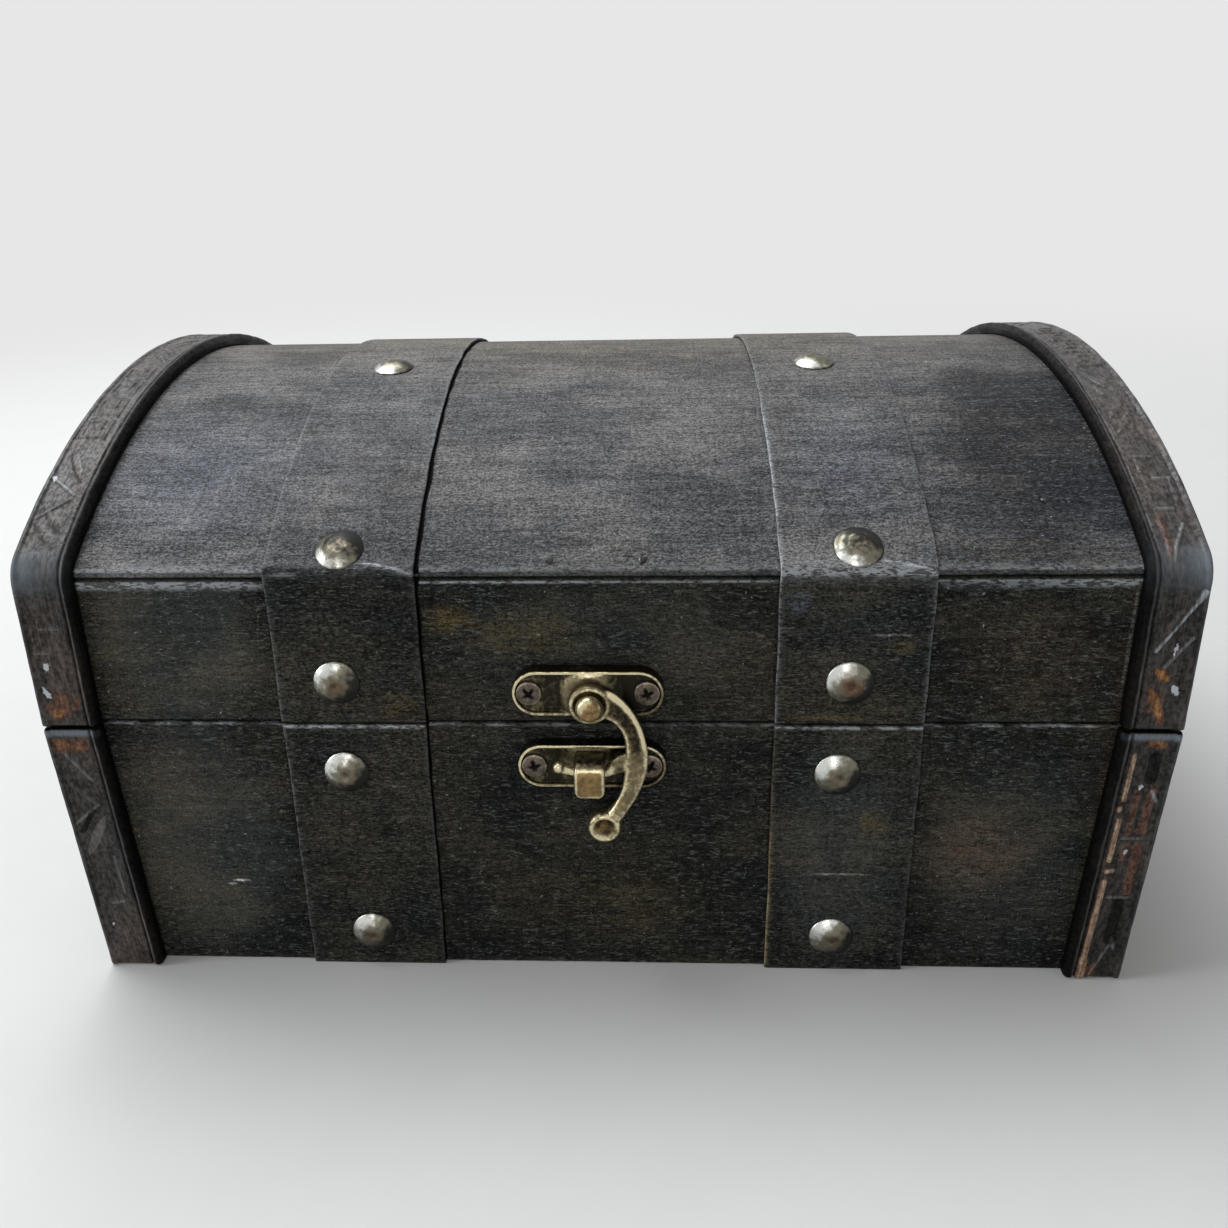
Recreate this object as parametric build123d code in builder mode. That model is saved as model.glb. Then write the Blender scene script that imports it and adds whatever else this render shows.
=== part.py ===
# A small wooden treasure chest with an arched lid, straps, end bands, studs and a swing hook latch.
# Millimetres. X runs along the chest, the front faces -Y, Z is up.
# The origin is the middle of the floor that the chest stands on.
import os
from math import cos, radians, sin, sqrt

from build123d import *

# Outline of the chest
chest_length = 216.0
chest_depth = 150.0
seam_height = 58.0
seam_gap = 0.4
shoulder_height = 90.0
crown_height = 112.0
end_lean = 3.5

# Boards
front_board = 6.0
end_board = 8.0
floor_board = 5.0
sheet_thickness = 1.3

# Straps over the front, the arch and the back, placed at a share of the chest's length
strap_place_share = 0.2185
strap_width = 28.0
strap_thickness = 1.0
strap_shoulder_radius = 2.0

# Moulded bands along both ends
band_width = 11.0
band_thickness = 3.0
band_corner_radius = 0.6
band_path_radius = 4.0
bead_width = 2.0
bead_drop = 0.7
bead_bevel = 0.4

# Domed studs, nailed through the straps
stud_radius = 4.6
stud_height = 1.9
stud_rim = 0.5
stud_dimple_radius = 0.7
stud_dimple_depth = 0.3
stud_shank_radius = 0.7
stud_shank_length = 5.0
stud_foot_height = 8.5
stud_seam_drop = 10.6
stud_seam_rise = 9.3
arch_stud_setback = 3.4
crown_stud_setback = 12.5

# Small nails that hold the bent sheet down to the rails
nail_span = 16.8
nail_setback = 1.7
nail_head_radius = 0.9
nail_head_height = 0.4
nail_rim = 0.15
nail_shank_radius = 0.4
nail_shank_length = 6.0

# Latch plates and their screws
latch_centre = -1.9
plate_length = 28.5
plate_height = 9.4
plate_thickness = 2.8
plate_bevel = 0.25
plate_rim_width = 0.6
plate_rim_height = 0.8
upper_plate_rise = 7.85
lower_plate_drop = 8.0
lower_plate_shift = 0.5
plate_screw_inset = 3.15
screw_radius = 2.5
screw_height = 1.1
screw_rim = 0.5
screw_shank_radius = 1.1
screw_shank_length = 5.5
recess_length = 2.9
recess_width = 0.7
recess_depth = 0.6
boss_radius = 5.6
boss_height = 0.7
boss_lift = 0.6
boss_taper = 25

# Swing hook and the rivet that it turns on
pivot_x = -1.5
pivot_drop = 1.1
rivet_shank_radius = 1.5
rivet_head_radius = 2.5
rivet_head_height = 2.3
rivet_head_rim = 1.2
hook_thickness = 1.9
hook_gap = 0.1
eye_radius = 4.15
tail_ball_radius = 3.35
tail_ball_depth = 4.4
prong_thickness = 1.6
prong_clearance = 0.9
prong_tip_radius = 1.15
prong_tip_angle = 28.5
prong_root_angle = 14.0
hook_edge_radius = 0.35

# Keeper post that the hook closes on
post_centre = -1.7
post_width = 5.8
post_hook_clearance = 1.0
post_thickness = 2.1
post_drop = 7.0
post_lift = 3.5
post_corner_radius = 0.9
tenon_radius = 0.9

# Two small hinges on the back
hinge_length = 22.0
hinge_leaf_height = 13.0
hinge_leaf_thickness = 0.8
hinge_axis_clearance = 0.2
knuckle_wall = 1.25
middle_knuckle_length = 12.0
knuckle_gap = 0.15
pin_radius = 1.0
pin_head_radius = 1.6
pin_head_length = 0.8
hinge_screw_inset = 4.0
hinge_screw_radius = 1.9
hinge_screw_height = 0.7
hinge_screw_rim = 0.25
hinge_screw_shank_radius = 0.8
hinge_screw_shank_length = 4.5
hinge_recess_length = 2.2
hinge_recess_width = 0.5
hinge_recess_depth = 0.4

# Fits, and how far cuts run past what they cut
turning_fit = 0.05
drilled_fit = 0.02
overrun = 2.0

# How far each stud strays from the middle of its strap, as shares of the strap's width: at the foot,
# under the seam, over the seam, on the shoulder and near the crown
stud_stray_shares = {
    "left": (-0.018, -0.086, -0.086, -0.007, -0.007),
    "right": (-0.029, -0.057, -0.014, 0.007, -0.014),
}

# Outline of the hook's arm from the rivet, as shares of the radius that the prong swings on:
# each arc is given by its start, middle and end
arm_outer_upper_shares = ((0.235, 0.216), (0.655, -0.369), (0.720, -0.815))
arm_outer_lower_shares = ((0.720, -0.815), (0.635, -1.233), (0.427, -1.579))
arm_inner_lower_shares = ((0.205, -1.581), (0.383, -1.259), (0.415, -0.967))
throat_lower_shares = ((0.415, -0.967), (0.372, -0.910), (0.217, -0.979))
throat_upper_shares = ((0.199, -0.917), (0.394, -0.740), (0.447, -0.565))
arm_inner_upper_shares = ((0.447, -0.565), (0.407, -0.351), (0.177, -0.198))
tail_ball_share = (0.160, -1.753)

half_length = chest_length / 2
half_depth = chest_depth / 2
body_top = seam_height - seam_gap / 2
lid_bottom = seam_height + seam_gap / 2
arch_rise = crown_height - shoulder_height
arch_radius = (half_depth**2 + arch_rise**2) / (2 * arch_rise)
arch_centre = crown_height - arch_radius
strap_centre = strap_place_share * chest_length
upper_plate_height = seam_height + upper_plate_rise
lower_plate_height = seam_height - lower_plate_drop
plate_screw_span = plate_length - 2 * plate_screw_inset
plate_field = plate_thickness - plate_rim_height
lower_plate_centre = latch_centre + lower_plate_shift
hook_back = plate_thickness + boss_height + hook_gap
post_top_height = lower_plate_height + post_lift
post_reach = hook_back - plate_field + hook_thickness + post_hook_clearance + post_thickness
pivot_height = upper_plate_height - pivot_drop
prong_height = post_top_height - post_thickness - prong_clearance - prong_thickness / 2
prong_radius = pivot_height - prong_height
hinge_axis_y = half_depth + band_thickness + hinge_axis_clearance
hinge_centre = (strap_centre + strap_width / 2 + half_length - band_width) / 2
hinge_screw_span = hinge_length - 2 * hinge_screw_inset
knuckle_radius = pin_radius + turning_fit + knuckle_wall
body_stud_heights = (stud_foot_height, seam_height - stud_seam_drop)
ends = {"left": -1, "right": 1}
stud_xs = [
    [end * strap_centre + share * strap_width for share in stud_stray_shares[end_name]]
    for end_name, end in ends.items()
]

os.makedirs("parts", exist_ok=True)


# Labels a finished piece and writes it to its own file
def save(piece, name):
    piece.label = name
    export_step(piece, "parts/" + name + ".step")


# Half the body's length at a height, because its ends lean in towards the floor
def half_length_at(height):
    return half_length - end_lean * (1 - height / body_top)


# Upright plane on the front or back face, looking outwards, moved out by outset
def face_plane(side, outset=0):
    turn = -1 if side == "front" else 1
    return Plane(origin=(0, turn * (half_depth + outset), 0), x_dir=(-turn, 0, 0), z_dir=(0, turn, 0))


# Place on the front or back face, looking outwards
def face_place(side, x, height, outset=0):
    turn = -1 if side == "front" else 1
    return Plane(origin=(x, turn * (half_depth + outset), height), x_dir=(-turn, 0, 0), z_dir=(0, turn, 0))


# Place on the arch at a depth y, looking outwards
def arch_place(x, y, outset=0):
    reach = arch_radius + outset
    height = arch_centre + sqrt(reach**2 - y**2)
    return Plane(origin=(x, y, height), x_dir=(1, 0, 0), z_dir=(0, y, height - arch_centre))


# Holes drilled in from the given places
def drill(places, radius, depth):
    with Locations(*places):
        Cylinder(radius + drilled_fit, 2 * depth, mode=Mode.SUBTRACT)


# Side outline of the lid, drawn flat with the depth along x, and grown outwards by a thickness
def lid_outline(growth=0, shoulder_radius=0):
    depth = chest_depth + 2 * growth
    height = crown_height + growth - lid_bottom
    with BuildSketch() as outline:
        with Locations((0, arch_centre)):
            Circle(arch_radius + growth)
        with Locations((0, lid_bottom)):
            Rectangle(depth, height, align=(Align.CENTER, Align.MIN), mode=Mode.INTERSECT)
        if shoulder_radius:
            fillet(outline.vertices().group_by(Axis.Y)[-1], shoulder_radius)
    return outline.sketch_local


# Turned fastener with a domed head standing on z = 0 and a shank below it
def turned_fastener(head_radius, head_height, rim, shank_radius, shank_length):
    rise = head_height - rim
    dome_radius = (head_radius**2 + rise**2) / (2 * rise)
    middle = head_radius / 2
    middle_height = head_height - dome_radius + sqrt(dome_radius**2 - middle**2)
    with BuildPart() as fastener:
        with BuildSketch(Plane.XZ):
            with BuildLine():
                Polyline((0, head_height), (0, -shank_length), (shank_radius, -shank_length),
                         (shank_radius, 0), (head_radius, 0), (head_radius, rim))
                ThreePointArc((head_radius, rim), (middle, middle_height), (0, head_height))
            make_face()
        revolve(axis=Axis.Z)
    return fastener.part


# Cross recess in the head of a screw
def cross_recess(screw, head_height, length, width, depth):
    with BuildPart() as recessed:
        add(screw)
        with Locations((0, 0, head_height)):
            Box(length, width, 2 * depth, mode=Mode.SUBTRACT)
            Box(width, length, 2 * depth, mode=Mode.SUBTRACT)
    return recessed.part


# The same fastener at each place, as one group of solids
def fastener_group(fastener, places):
    with BuildPart() as group:
        with Locations(*places):
            add(fastener)
    return group.part


# Places of the studs
body_stud_places = {
    side: [
        face_place(side, x, height, strap_thickness)
        for xs in stud_xs
        for x, height in zip(xs, body_stud_heights)
    ]
    for side in ("front", "back")
}
lid_stud_places = []
for _, _, rail_x, shoulder_x, crown_x in stud_xs:
    for side, turn in (("front", -1), ("back", 1)):
        lid_stud_places.append(face_place(side, rail_x, seam_height + stud_seam_rise, strap_thickness))
        shoulder_y = turn * (half_depth - arch_stud_setback)
        lid_stud_places.append(arch_place(shoulder_x, shoulder_y, strap_thickness))
    lid_stud_places.append(arch_place(crown_x, -crown_stud_setback, strap_thickness))

# Places of the sheet nails, two at the front and two at the back
nail_places = [
    arch_place(end * nail_span / 2, turn * (half_depth - nail_setback))
    for turn in (-1, 1)
    for end in (-1, 1)
]

# Places of the latch screws and the hinge screws
upper_screw_places = [
    face_place("front", latch_centre + end * plate_screw_span / 2, upper_plate_height, plate_field)
    for end in (-1, 1)
]
lower_screw_places = [
    face_place("front", lower_plate_centre + end * plate_screw_span / 2, lower_plate_height, plate_field)
    for end in (-1, 1)
]
hinge_screw_rise = (knuckle_radius + hinge_leaf_height) / 2
hinge_xs = [end * hinge_centre + step * hinge_screw_span / 2 for end in (-1, 1) for step in (-1, 1)]
lower_hinge_screw_places = [
    face_place("back", x, seam_height - hinge_screw_rise, hinge_leaf_thickness) for x in hinge_xs
]
upper_hinge_screw_places = [
    face_place("back", x, seam_height + hinge_screw_rise, hinge_leaf_thickness) for x in hinge_xs
]

# Floor of the chest, let in between the four walls
with BuildPart() as bottom_panel:
    with BuildSketch(Plane.XZ.offset(half_depth - front_board)):
        foot = half_length_at(0) - end_board
        top = half_length_at(floor_board) - end_board
        with BuildLine():
            Polyline((-foot, 0), (foot, 0), (top, floor_board), (-top, floor_board), close=True)
        make_face()
    extrude(amount=-(chest_depth - 2 * front_board))
save(bottom_panel.part, "bottom_panel")

# Front and back walls of the body
for side in ("front", "back"):
    with BuildPart() as wall:
        with BuildSketch(face_plane(side)):
            foot = half_length_at(0)
            with BuildLine():
                Polyline((-foot, 0), (foot, 0), (half_length, body_top),
                         (-half_length, body_top), close=True)
            make_face()
        extrude(amount=-front_board)
        drill(body_stud_places[side], stud_shank_radius, stud_shank_length)
        if side == "front":
            drill(lower_screw_places, screw_shank_radius, screw_shank_length)
        else:
            drill(lower_hinge_screw_places, hinge_screw_shank_radius, hinge_screw_shank_length)
    save(wall.part, "body_" + side + "_panel")

# End walls of the body, leaning in towards the floor
for end_name, end in ends.items():
    with BuildPart() as end_wall:
        with BuildSketch(Plane.XZ.offset(half_depth - front_board)):
            foot = half_length_at(0)
            with BuildLine():
                Polyline((end * foot, 0), (end * half_length, body_top),
                         (end * (half_length - end_board), body_top),
                         (end * (foot - end_board), 0), close=True)
            make_face()
        extrude(amount=-(chest_depth - 2 * front_board))
    save(end_wall.part, "body_" + end_name + "_end_panel")

# Straps on the front and back of the body
for side in ("front", "back"):
    for end_name, end in ends.items():
        with BuildPart() as body_strap:
            with BuildSketch(face_plane(side)):
                outwards = -end if side == "back" else end
                with Locations((outwards * strap_centre, 0)):
                    Rectangle(strap_width, body_top, align=(Align.CENTER, Align.MIN))
            extrude(amount=strap_thickness)
            near = [place for place in body_stud_places[side] if place.origin.X * end > 0]
            drill(near, stud_shank_radius, stud_shank_length)
        save(body_strap.part, "body_strap_" + side + "_" + end_name)


# Cross-section of an end band: a round bead along its inner edge, then a flat field
def band_section(plane):
    with BuildSketch(plane) as section:
        bead_top = band_thickness - bead_drop
        corner_x = band_width - band_corner_radius
        corner_height = band_thickness - band_corner_radius
        with BuildLine():
            Polyline((bead_width, bead_top), (bead_width + bead_bevel, band_thickness),
                     (corner_x, band_thickness))
            RadiusArc((corner_x, band_thickness), (band_width, corner_height), band_corner_radius)
            Polyline((band_width, corner_height), (band_width, 0), (0, 0), (0, bead_top))
            ThreePointArc((0, bead_top), (bead_width / 2, band_thickness), (bead_width, bead_top))
        make_face()
    return section.sketch


# Plane of a band's section at a height, its x running outwards from the band's inner edge
def band_plane(end, turn, height, outer):
    return Plane(origin=(end * (outer - band_width), turn * half_depth, height),
                 x_dir=(end, 0, 0), z_dir=(0, 0, end * turn))


# End bands on the front and back of the body
for side, turn in (("front", -1), ("back", 1)):
    for end_name, end in ends.items():
        with BuildPart() as body_band:
            add(band_section(band_plane(end, turn, 0, half_length_at(0))))
            add(band_section(band_plane(end, turn, body_top, half_length)))
            loft(ruled=True)
        save(body_band.part, "body_band_" + side + "_" + end_name)

# Front and back rails of the lid, bevelled along the top to the underside of the sheet
for side, turn in (("front", -1), ("back", 1)):
    with BuildPart() as rail:
        with BuildSketch(Plane.YZ.offset(-half_length)):
            with Locations((0, arch_centre)):
                Circle(arch_radius - sheet_thickness)
            with Locations((turn * (half_depth - front_board / 2), lid_bottom)):
                Rectangle(front_board, shoulder_height, align=(Align.CENTER, Align.MIN),
                          mode=Mode.INTERSECT)
        extrude(amount=chest_length)
        drill(lid_stud_places, stud_shank_radius, stud_shank_length)
        drill(nail_places, nail_shank_radius, nail_shank_length)
        if side == "front":
            drill(upper_screw_places, screw_shank_radius, screw_shank_length)
        else:
            drill(upper_hinge_screw_places, hinge_screw_shank_radius, hinge_screw_shank_length)
    save(rail.part, "lid_" + side + "_rail")

# Arched end walls of the lid
for end_name, end in ends.items():
    with BuildPart() as arched_end:
        with BuildSketch(Plane.YZ.offset(end * half_length)):
            with Locations((0, arch_centre)):
                Circle(arch_radius - sheet_thickness)
            with Locations((0, lid_bottom)):
                Rectangle(chest_depth - 2 * front_board, crown_height, align=(Align.CENTER, Align.MIN),
                          mode=Mode.INTERSECT)
        extrude(amount=-end * end_board)
    save(arched_end.part, "lid_" + end_name + "_end_panel")

# Thin sheet bent over the rails and the arched ends
with BuildPart() as lid_top_sheet:
    with BuildSketch(Plane.YZ.offset(-half_length)):
        with Locations((0, arch_centre)):
            Circle(arch_radius)
            Circle(arch_radius - sheet_thickness, mode=Mode.SUBTRACT)
        with Locations((0, arch_centre)):
            Rectangle(chest_depth, arch_radius, align=(Align.CENTER, Align.MIN), mode=Mode.INTERSECT)
    extrude(amount=chest_length)
    drill(lid_stud_places, stud_shank_radius, stud_shank_length)
    drill(nail_places, nail_shank_radius, nail_shank_length)
save(lid_top_sheet.part, "lid_top_sheet")

# Straps that run from the lid's front edge over the arch to its back edge
for end_name, end in ends.items():
    with BuildPart() as lid_strap:
        with BuildSketch(Plane.YZ.offset(end * strap_centre - strap_width / 2)):
            add(lid_outline(strap_thickness, strap_shoulder_radius))
            add(lid_outline(), mode=Mode.SUBTRACT)
        extrude(amount=strap_width)
        drill(lid_stud_places, stud_shank_radius, stud_shank_length)
    save(lid_strap.part, "lid_strap_" + end_name)

# Bare side outline of the lid as a path with rounded shoulders, for the bands to follow
with BuildLine(Plane.YZ) as band_path:
    Line((-half_depth, lid_bottom), (-half_depth, shoulder_height))
    ThreePointArc((-half_depth, shoulder_height), (0, crown_height), (half_depth, shoulder_height))
    Line((half_depth, shoulder_height), (half_depth, lid_bottom))
    fillet(band_path.vertices().group_by(Axis.Z)[-1], band_path_radius)

# Bare lid as one solid, which the bands fit over
with BuildPart() as bare_lid:
    with BuildSketch(Plane.YZ.offset(-half_length)):
        add(lid_outline())
    extrude(amount=chest_length)

# End bands of the lid, one unbroken moulding over each end
for end_name, end in ends.items():
    with BuildPart() as lid_band:
        add(band_section(band_plane(end, -1, lid_bottom, half_length)))
        sweep(path=Pos(X=end * (half_length - band_width)) * band_path.wire())
        add(bare_lid.part, mode=Mode.SUBTRACT)
    save(lid_band.part, "lid_band_" + end_name)

# Domed studs with a small dimple in the middle, as groups
with BuildPart() as stud:
    add(turned_fastener(stud_radius, stud_height, stud_rim, stud_shank_radius, stud_shank_length))
    with Locations((0, 0, stud_height - stud_dimple_depth + stud_dimple_radius)):
        Sphere(stud_dimple_radius, mode=Mode.SUBTRACT)
save(fastener_group(stud.part, body_stud_places["front"]), "body_studs_front")
save(fastener_group(stud.part, body_stud_places["back"]), "body_studs_back")
save(fastener_group(stud.part, lid_stud_places), "lid_studs")

# Nails along both edges of the bent sheet
nail = turned_fastener(nail_head_radius, nail_head_height, nail_rim, nail_shank_radius, nail_shank_length)
save(fastener_group(nail, nail_places), "sheet_nails")


# Rounded tray-like plate of the latch: a bevelled rim round a lower field with the screw holes
def latch_plate(centre, height):
    with BuildPart() as plate:
        with BuildSketch(face_plane("front")):
            with Locations((centre, height)):
                SlotOverall(plate_length, plate_height)
        extrude(amount=plate_thickness)
        chamfer(plate.faces().sort_by(Axis.Y)[0].edges(), plate_bevel)
        with BuildSketch(face_plane("front", plate_thickness)):
            with Locations((centre, height)):
                SlotOverall(plate_length - 2 * plate_rim_width, plate_height - 2 * plate_rim_width)
        extrude(amount=-plate_rim_height, mode=Mode.SUBTRACT)
        with Locations(face_place("front", centre, height, plate_thickness)):
            with GridLocations(plate_screw_span, 0, 2, 1):
                Cylinder(screw_shank_radius + drilled_fit, 2 * plate_thickness + overrun,
                         mode=Mode.SUBTRACT)
    return plate.part


# Upper latch plate with the raised boss that the hook turns against
with BuildPart() as latch_upper_plate:
    add(latch_plate(latch_centre, upper_plate_height))
    boss_centre = upper_plate_height - boss_lift
    with BuildSketch(face_plane("front", plate_field)):
        with Locations((pivot_x, boss_centre)):
            Circle(boss_radius)
        with Locations((latch_centre, upper_plate_height)):
            Rectangle(plate_length, plate_height - 2 * plate_bevel, mode=Mode.INTERSECT)
    extrude(amount=plate_rim_height + boss_height, taper=boss_taper)
    with Locations(face_place("front", pivot_x, pivot_height)):
        Cylinder(rivet_shank_radius + drilled_fit, 2 * hook_back, mode=Mode.SUBTRACT)
save(latch_upper_plate.part, "latch_upper_plate")

# Lower latch plate with the hole for the keeper's tenon
tenon_height = post_top_height - post_thickness / 2
with BuildPart() as latch_keeper_plate:
    add(latch_plate(lower_plate_centre, lower_plate_height))
    with Locations(face_place("front", post_centre, tenon_height)):
        Cylinder(tenon_radius + drilled_fit, 2 * plate_thickness, mode=Mode.SUBTRACT)
save(latch_keeper_plate.part, "latch_keeper_plate")

# Keeper post: it stands out from the plate, then turns down in front of the hook's prong
with BuildPart() as latch_keeper_post:
    plate_face = -half_depth - plate_field
    outer_face = plate_face - post_reach
    with BuildSketch(Plane.YZ.offset(post_centre - post_width / 2)):
        with BuildLine():
            Polyline((plate_face, post_top_height), (outer_face, post_top_height),
                     (outer_face, post_top_height - post_drop),
                     (outer_face + post_thickness, post_top_height - post_drop),
                     (outer_face + post_thickness, post_top_height - post_thickness),
                     (plate_face, post_top_height - post_thickness), close=True)
        make_face()
    extrude(amount=post_width)
    outer_edges = latch_keeper_post.faces().sort_by(Axis.Y)[0].edges()
    fillet(outer_edges, post_corner_radius)
    with Locations(face_place("front", post_centre, tenon_height, plate_field)):
        Cylinder(tenon_radius, plate_field, align=(Align.CENTER, Align.CENTER, Align.MAX))
save(latch_keeper_post.part, "latch_keeper_post")

# Cross-head screws of both plates
latch_screw = cross_recess(
    turned_fastener(screw_radius, screw_height, screw_rim, screw_shank_radius, screw_shank_length),
    screw_height, recess_length, recess_width, recess_depth)
save(fastener_group(latch_screw, upper_screw_places), "latch_screws_upper")
save(fastener_group(latch_screw, lower_screw_places), "latch_screws_lower")

# Rivet that holds the hook to the upper plate
rivet_reach = hook_back + hook_thickness + hook_gap
rivet = turned_fastener(rivet_head_radius, rivet_head_height, rivet_head_rim,
                        rivet_shank_radius, rivet_reach)
save(fastener_group(rivet, [face_place("front", pivot_x, pivot_height, rivet_reach)]), "latch_rivet")


# Point of the hook's outline, given as shares of the prong's swing radius
def hook_point(shares):
    return (pivot_x + shares[0] * prong_radius, pivot_height + shares[1] * prong_radius)


# Arc of the hook's outline through three such points
def hook_arc(shares):
    return ThreePointArc(*[hook_point(share) for share in shares])


# Point at a radius from the rivet, at an angle from straight down
def swing_point(radius, angle):
    return (pivot_x + radius * sin(radians(angle)), pivot_height - radius * cos(radians(angle)))


# Swing hook: eye, curved arm, tail ball, and the prong that turns in under the keeper
prong_arc = CenterArc((pivot_x, pivot_height), prong_radius, -90 - prong_tip_angle,
                      prong_tip_angle + prong_root_angle)
with BuildPart() as tail_ball:
    Sphere(tail_ball_radius)
    Box(2 * tail_ball_radius, 2 * tail_ball_radius, tail_ball_depth, mode=Mode.INTERSECT)
with BuildPart() as latch_hook:
    with BuildSketch(face_plane("front", hook_back)):
        with Locations((pivot_x, pivot_height)):
            Circle(eye_radius)
        with BuildLine():
            hook_arc(arm_outer_upper_shares)
            hook_arc(arm_outer_lower_shares)
            Line(hook_point(arm_outer_lower_shares[-1]), hook_point(arm_inner_lower_shares[0]))
            hook_arc(arm_inner_lower_shares)
            hook_arc(throat_lower_shares)
            Line(hook_point(throat_lower_shares[-1]), hook_point(throat_upper_shares[0]))
            hook_arc(throat_upper_shares)
            hook_arc(arm_inner_upper_shares)
            Line(hook_point(arm_inner_upper_shares[-1]), hook_point(arm_outer_upper_shares[0]))
        make_face()
        SlotArc(prong_arc, prong_thickness)
        with Locations(swing_point(prong_radius, -prong_tip_angle)):
            Circle(prong_tip_radius)
        with Locations(hook_point(tail_ball_share)):
            Circle(tail_ball_radius - hook_edge_radius)
    extrude(amount=hook_thickness)
    with Locations(face_place("front", *hook_point(tail_ball_share), hook_back + hook_thickness / 2)):
        add(tail_ball.part)
    with Locations(face_place("front", pivot_x, pivot_height)):
        Cylinder(rivet_shank_radius + turning_fit, 2 * rivet_reach, mode=Mode.SUBTRACT)
save(latch_hook.part, "latch_hook")


# Place on the hinge axis, looking along it
def hinge_axis_place(x):
    return Plane(origin=(x, hinge_axis_y, seam_height), x_dir=(0, 1, 0), z_dir=(1, 0, 0))


# Hinge leaf: a plate on the back face and the knuckles that curl out to the pin
def hinge_leaf(centre, rise, knuckle_spans):
    outer = half_depth + hinge_leaf_thickness
    near = seam_height + rise * seam_gap / 2
    curl = seam_height + rise * knuckle_radius
    low = seam_height + rise * (knuckle_radius + knuckle_gap)
    high = seam_height + rise * hinge_leaf_height
    with BuildPart() as leaf:
        with BuildSketch(Plane.YZ.offset(centre - hinge_length / 2)):
            with BuildLine():
                Polyline((half_depth, low), (outer, low), (outer, high), (half_depth, high),
                         close=True)
            make_face()
        extrude(amount=hinge_length)
        for start, length in knuckle_spans:
            with BuildSketch(Plane.YZ.offset(centre + start)):
                with Locations((hinge_axis_y, seam_height)):
                    Circle(knuckle_radius)
                with BuildLine():
                    Polyline((half_depth, near), (hinge_axis_y, seam_height), (hinge_axis_y, curl),
                             (outer, low), (half_depth, low), close=True)
                make_face()
            extrude(amount=length)
        with Locations(hinge_axis_place(centre)):
            Cylinder(pin_radius + turning_fit, hinge_length + overrun, mode=Mode.SUBTRACT)
        screw_places = [
            face_place("back", centre + step * hinge_screw_span / 2, seam_height + rise * hinge_screw_rise)
            for step in (-1, 1)
        ]
        drill(screw_places, hinge_screw_shank_radius, 2 * hinge_leaf_thickness)
    return leaf.part


# Hinge leaves and pins, left and right
side_knuckle_length = (hinge_length - middle_knuckle_length) / 2 - knuckle_gap
lower_knuckles = [(-hinge_length / 2, side_knuckle_length),
                  (hinge_length / 2 - side_knuckle_length, side_knuckle_length)]
upper_knuckles = [(-middle_knuckle_length / 2, middle_knuckle_length)]
pin_length = hinge_length + 2 * pin_head_length
for end_name, end in ends.items():
    save(hinge_leaf(end * hinge_centre, -1, lower_knuckles), "hinge_leaf_lower_" + end_name)
    save(hinge_leaf(end * hinge_centre, 1, upper_knuckles), "hinge_leaf_upper_" + end_name)
    with BuildPart() as hinge_pin:
        with Locations(hinge_axis_place(end * hinge_centre)):
            Cylinder(pin_radius, pin_length)
        for step in (-1, 1):
            head_x = end * hinge_centre + step * (hinge_length + pin_head_length) / 2
            with Locations(hinge_axis_place(head_x)):
                Cylinder(pin_head_radius, pin_head_length)
    save(hinge_pin.part, "hinge_pin_" + end_name)

# Hinge screws, as a group in the body and a group in the lid
hinge_screw = cross_recess(
    turned_fastener(hinge_screw_radius, hinge_screw_height, hinge_screw_rim,
                    hinge_screw_shank_radius, hinge_screw_shank_length),
    hinge_screw_height, hinge_recess_length, hinge_recess_width, hinge_recess_depth)
save(fastener_group(hinge_screw, lower_hinge_screw_places), "hinge_screws_lower")
save(fastener_group(hinge_screw, upper_hinge_screw_places), "hinge_screws_upper")
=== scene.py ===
import bmesh
import bpy
import numpy as np
from mathutils import Matrix, Vector


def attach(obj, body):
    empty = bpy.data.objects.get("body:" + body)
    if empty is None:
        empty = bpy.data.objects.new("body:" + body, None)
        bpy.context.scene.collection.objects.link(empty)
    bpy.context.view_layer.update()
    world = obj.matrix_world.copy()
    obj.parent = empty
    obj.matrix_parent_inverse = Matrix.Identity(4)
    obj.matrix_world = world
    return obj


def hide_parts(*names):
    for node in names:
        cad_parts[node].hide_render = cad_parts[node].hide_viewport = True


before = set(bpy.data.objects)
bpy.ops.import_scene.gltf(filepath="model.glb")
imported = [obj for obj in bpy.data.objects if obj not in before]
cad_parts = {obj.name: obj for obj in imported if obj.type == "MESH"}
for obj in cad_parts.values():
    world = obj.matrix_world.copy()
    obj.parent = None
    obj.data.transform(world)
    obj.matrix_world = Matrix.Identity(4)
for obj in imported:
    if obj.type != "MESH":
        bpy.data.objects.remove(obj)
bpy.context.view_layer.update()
print("frame loaded:", len(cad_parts), "nodes")

mm = 0.001
ends = {"left": -1, "right": 1}
faces = {"front": -1, "back": 1}

# Main sizes of the chest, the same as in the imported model
chest = dict(endLean=3.5, shoulder=90.0, crown=112.0, frontBoard=6.0, endBoard=8.0, sheet=1.3, seam=58.0)
halfLength, halfDepth, bodyTop, lidBottom = 108.0, 75.0, 57.8, 58.2
archRise = chest["crown"] - chest["shoulder"]
archRadius = (halfDepth ** 2 + archRise ** 2) / (2 * archRise)
archCentre = chest["crown"] - archRadius
faceY = -halfDepth


# Height of the arch at a depth y, for a circle of the given radius
def archHeight(y, radius=archRadius):
    return archCentre + np.sqrt(radius ** 2 - y ** 2)


# How far the body's ends lean in at a height
def leanIn(z):
    return chest["endLean"] * np.clip(1 - z / bodyTop, 0, 1)


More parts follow.
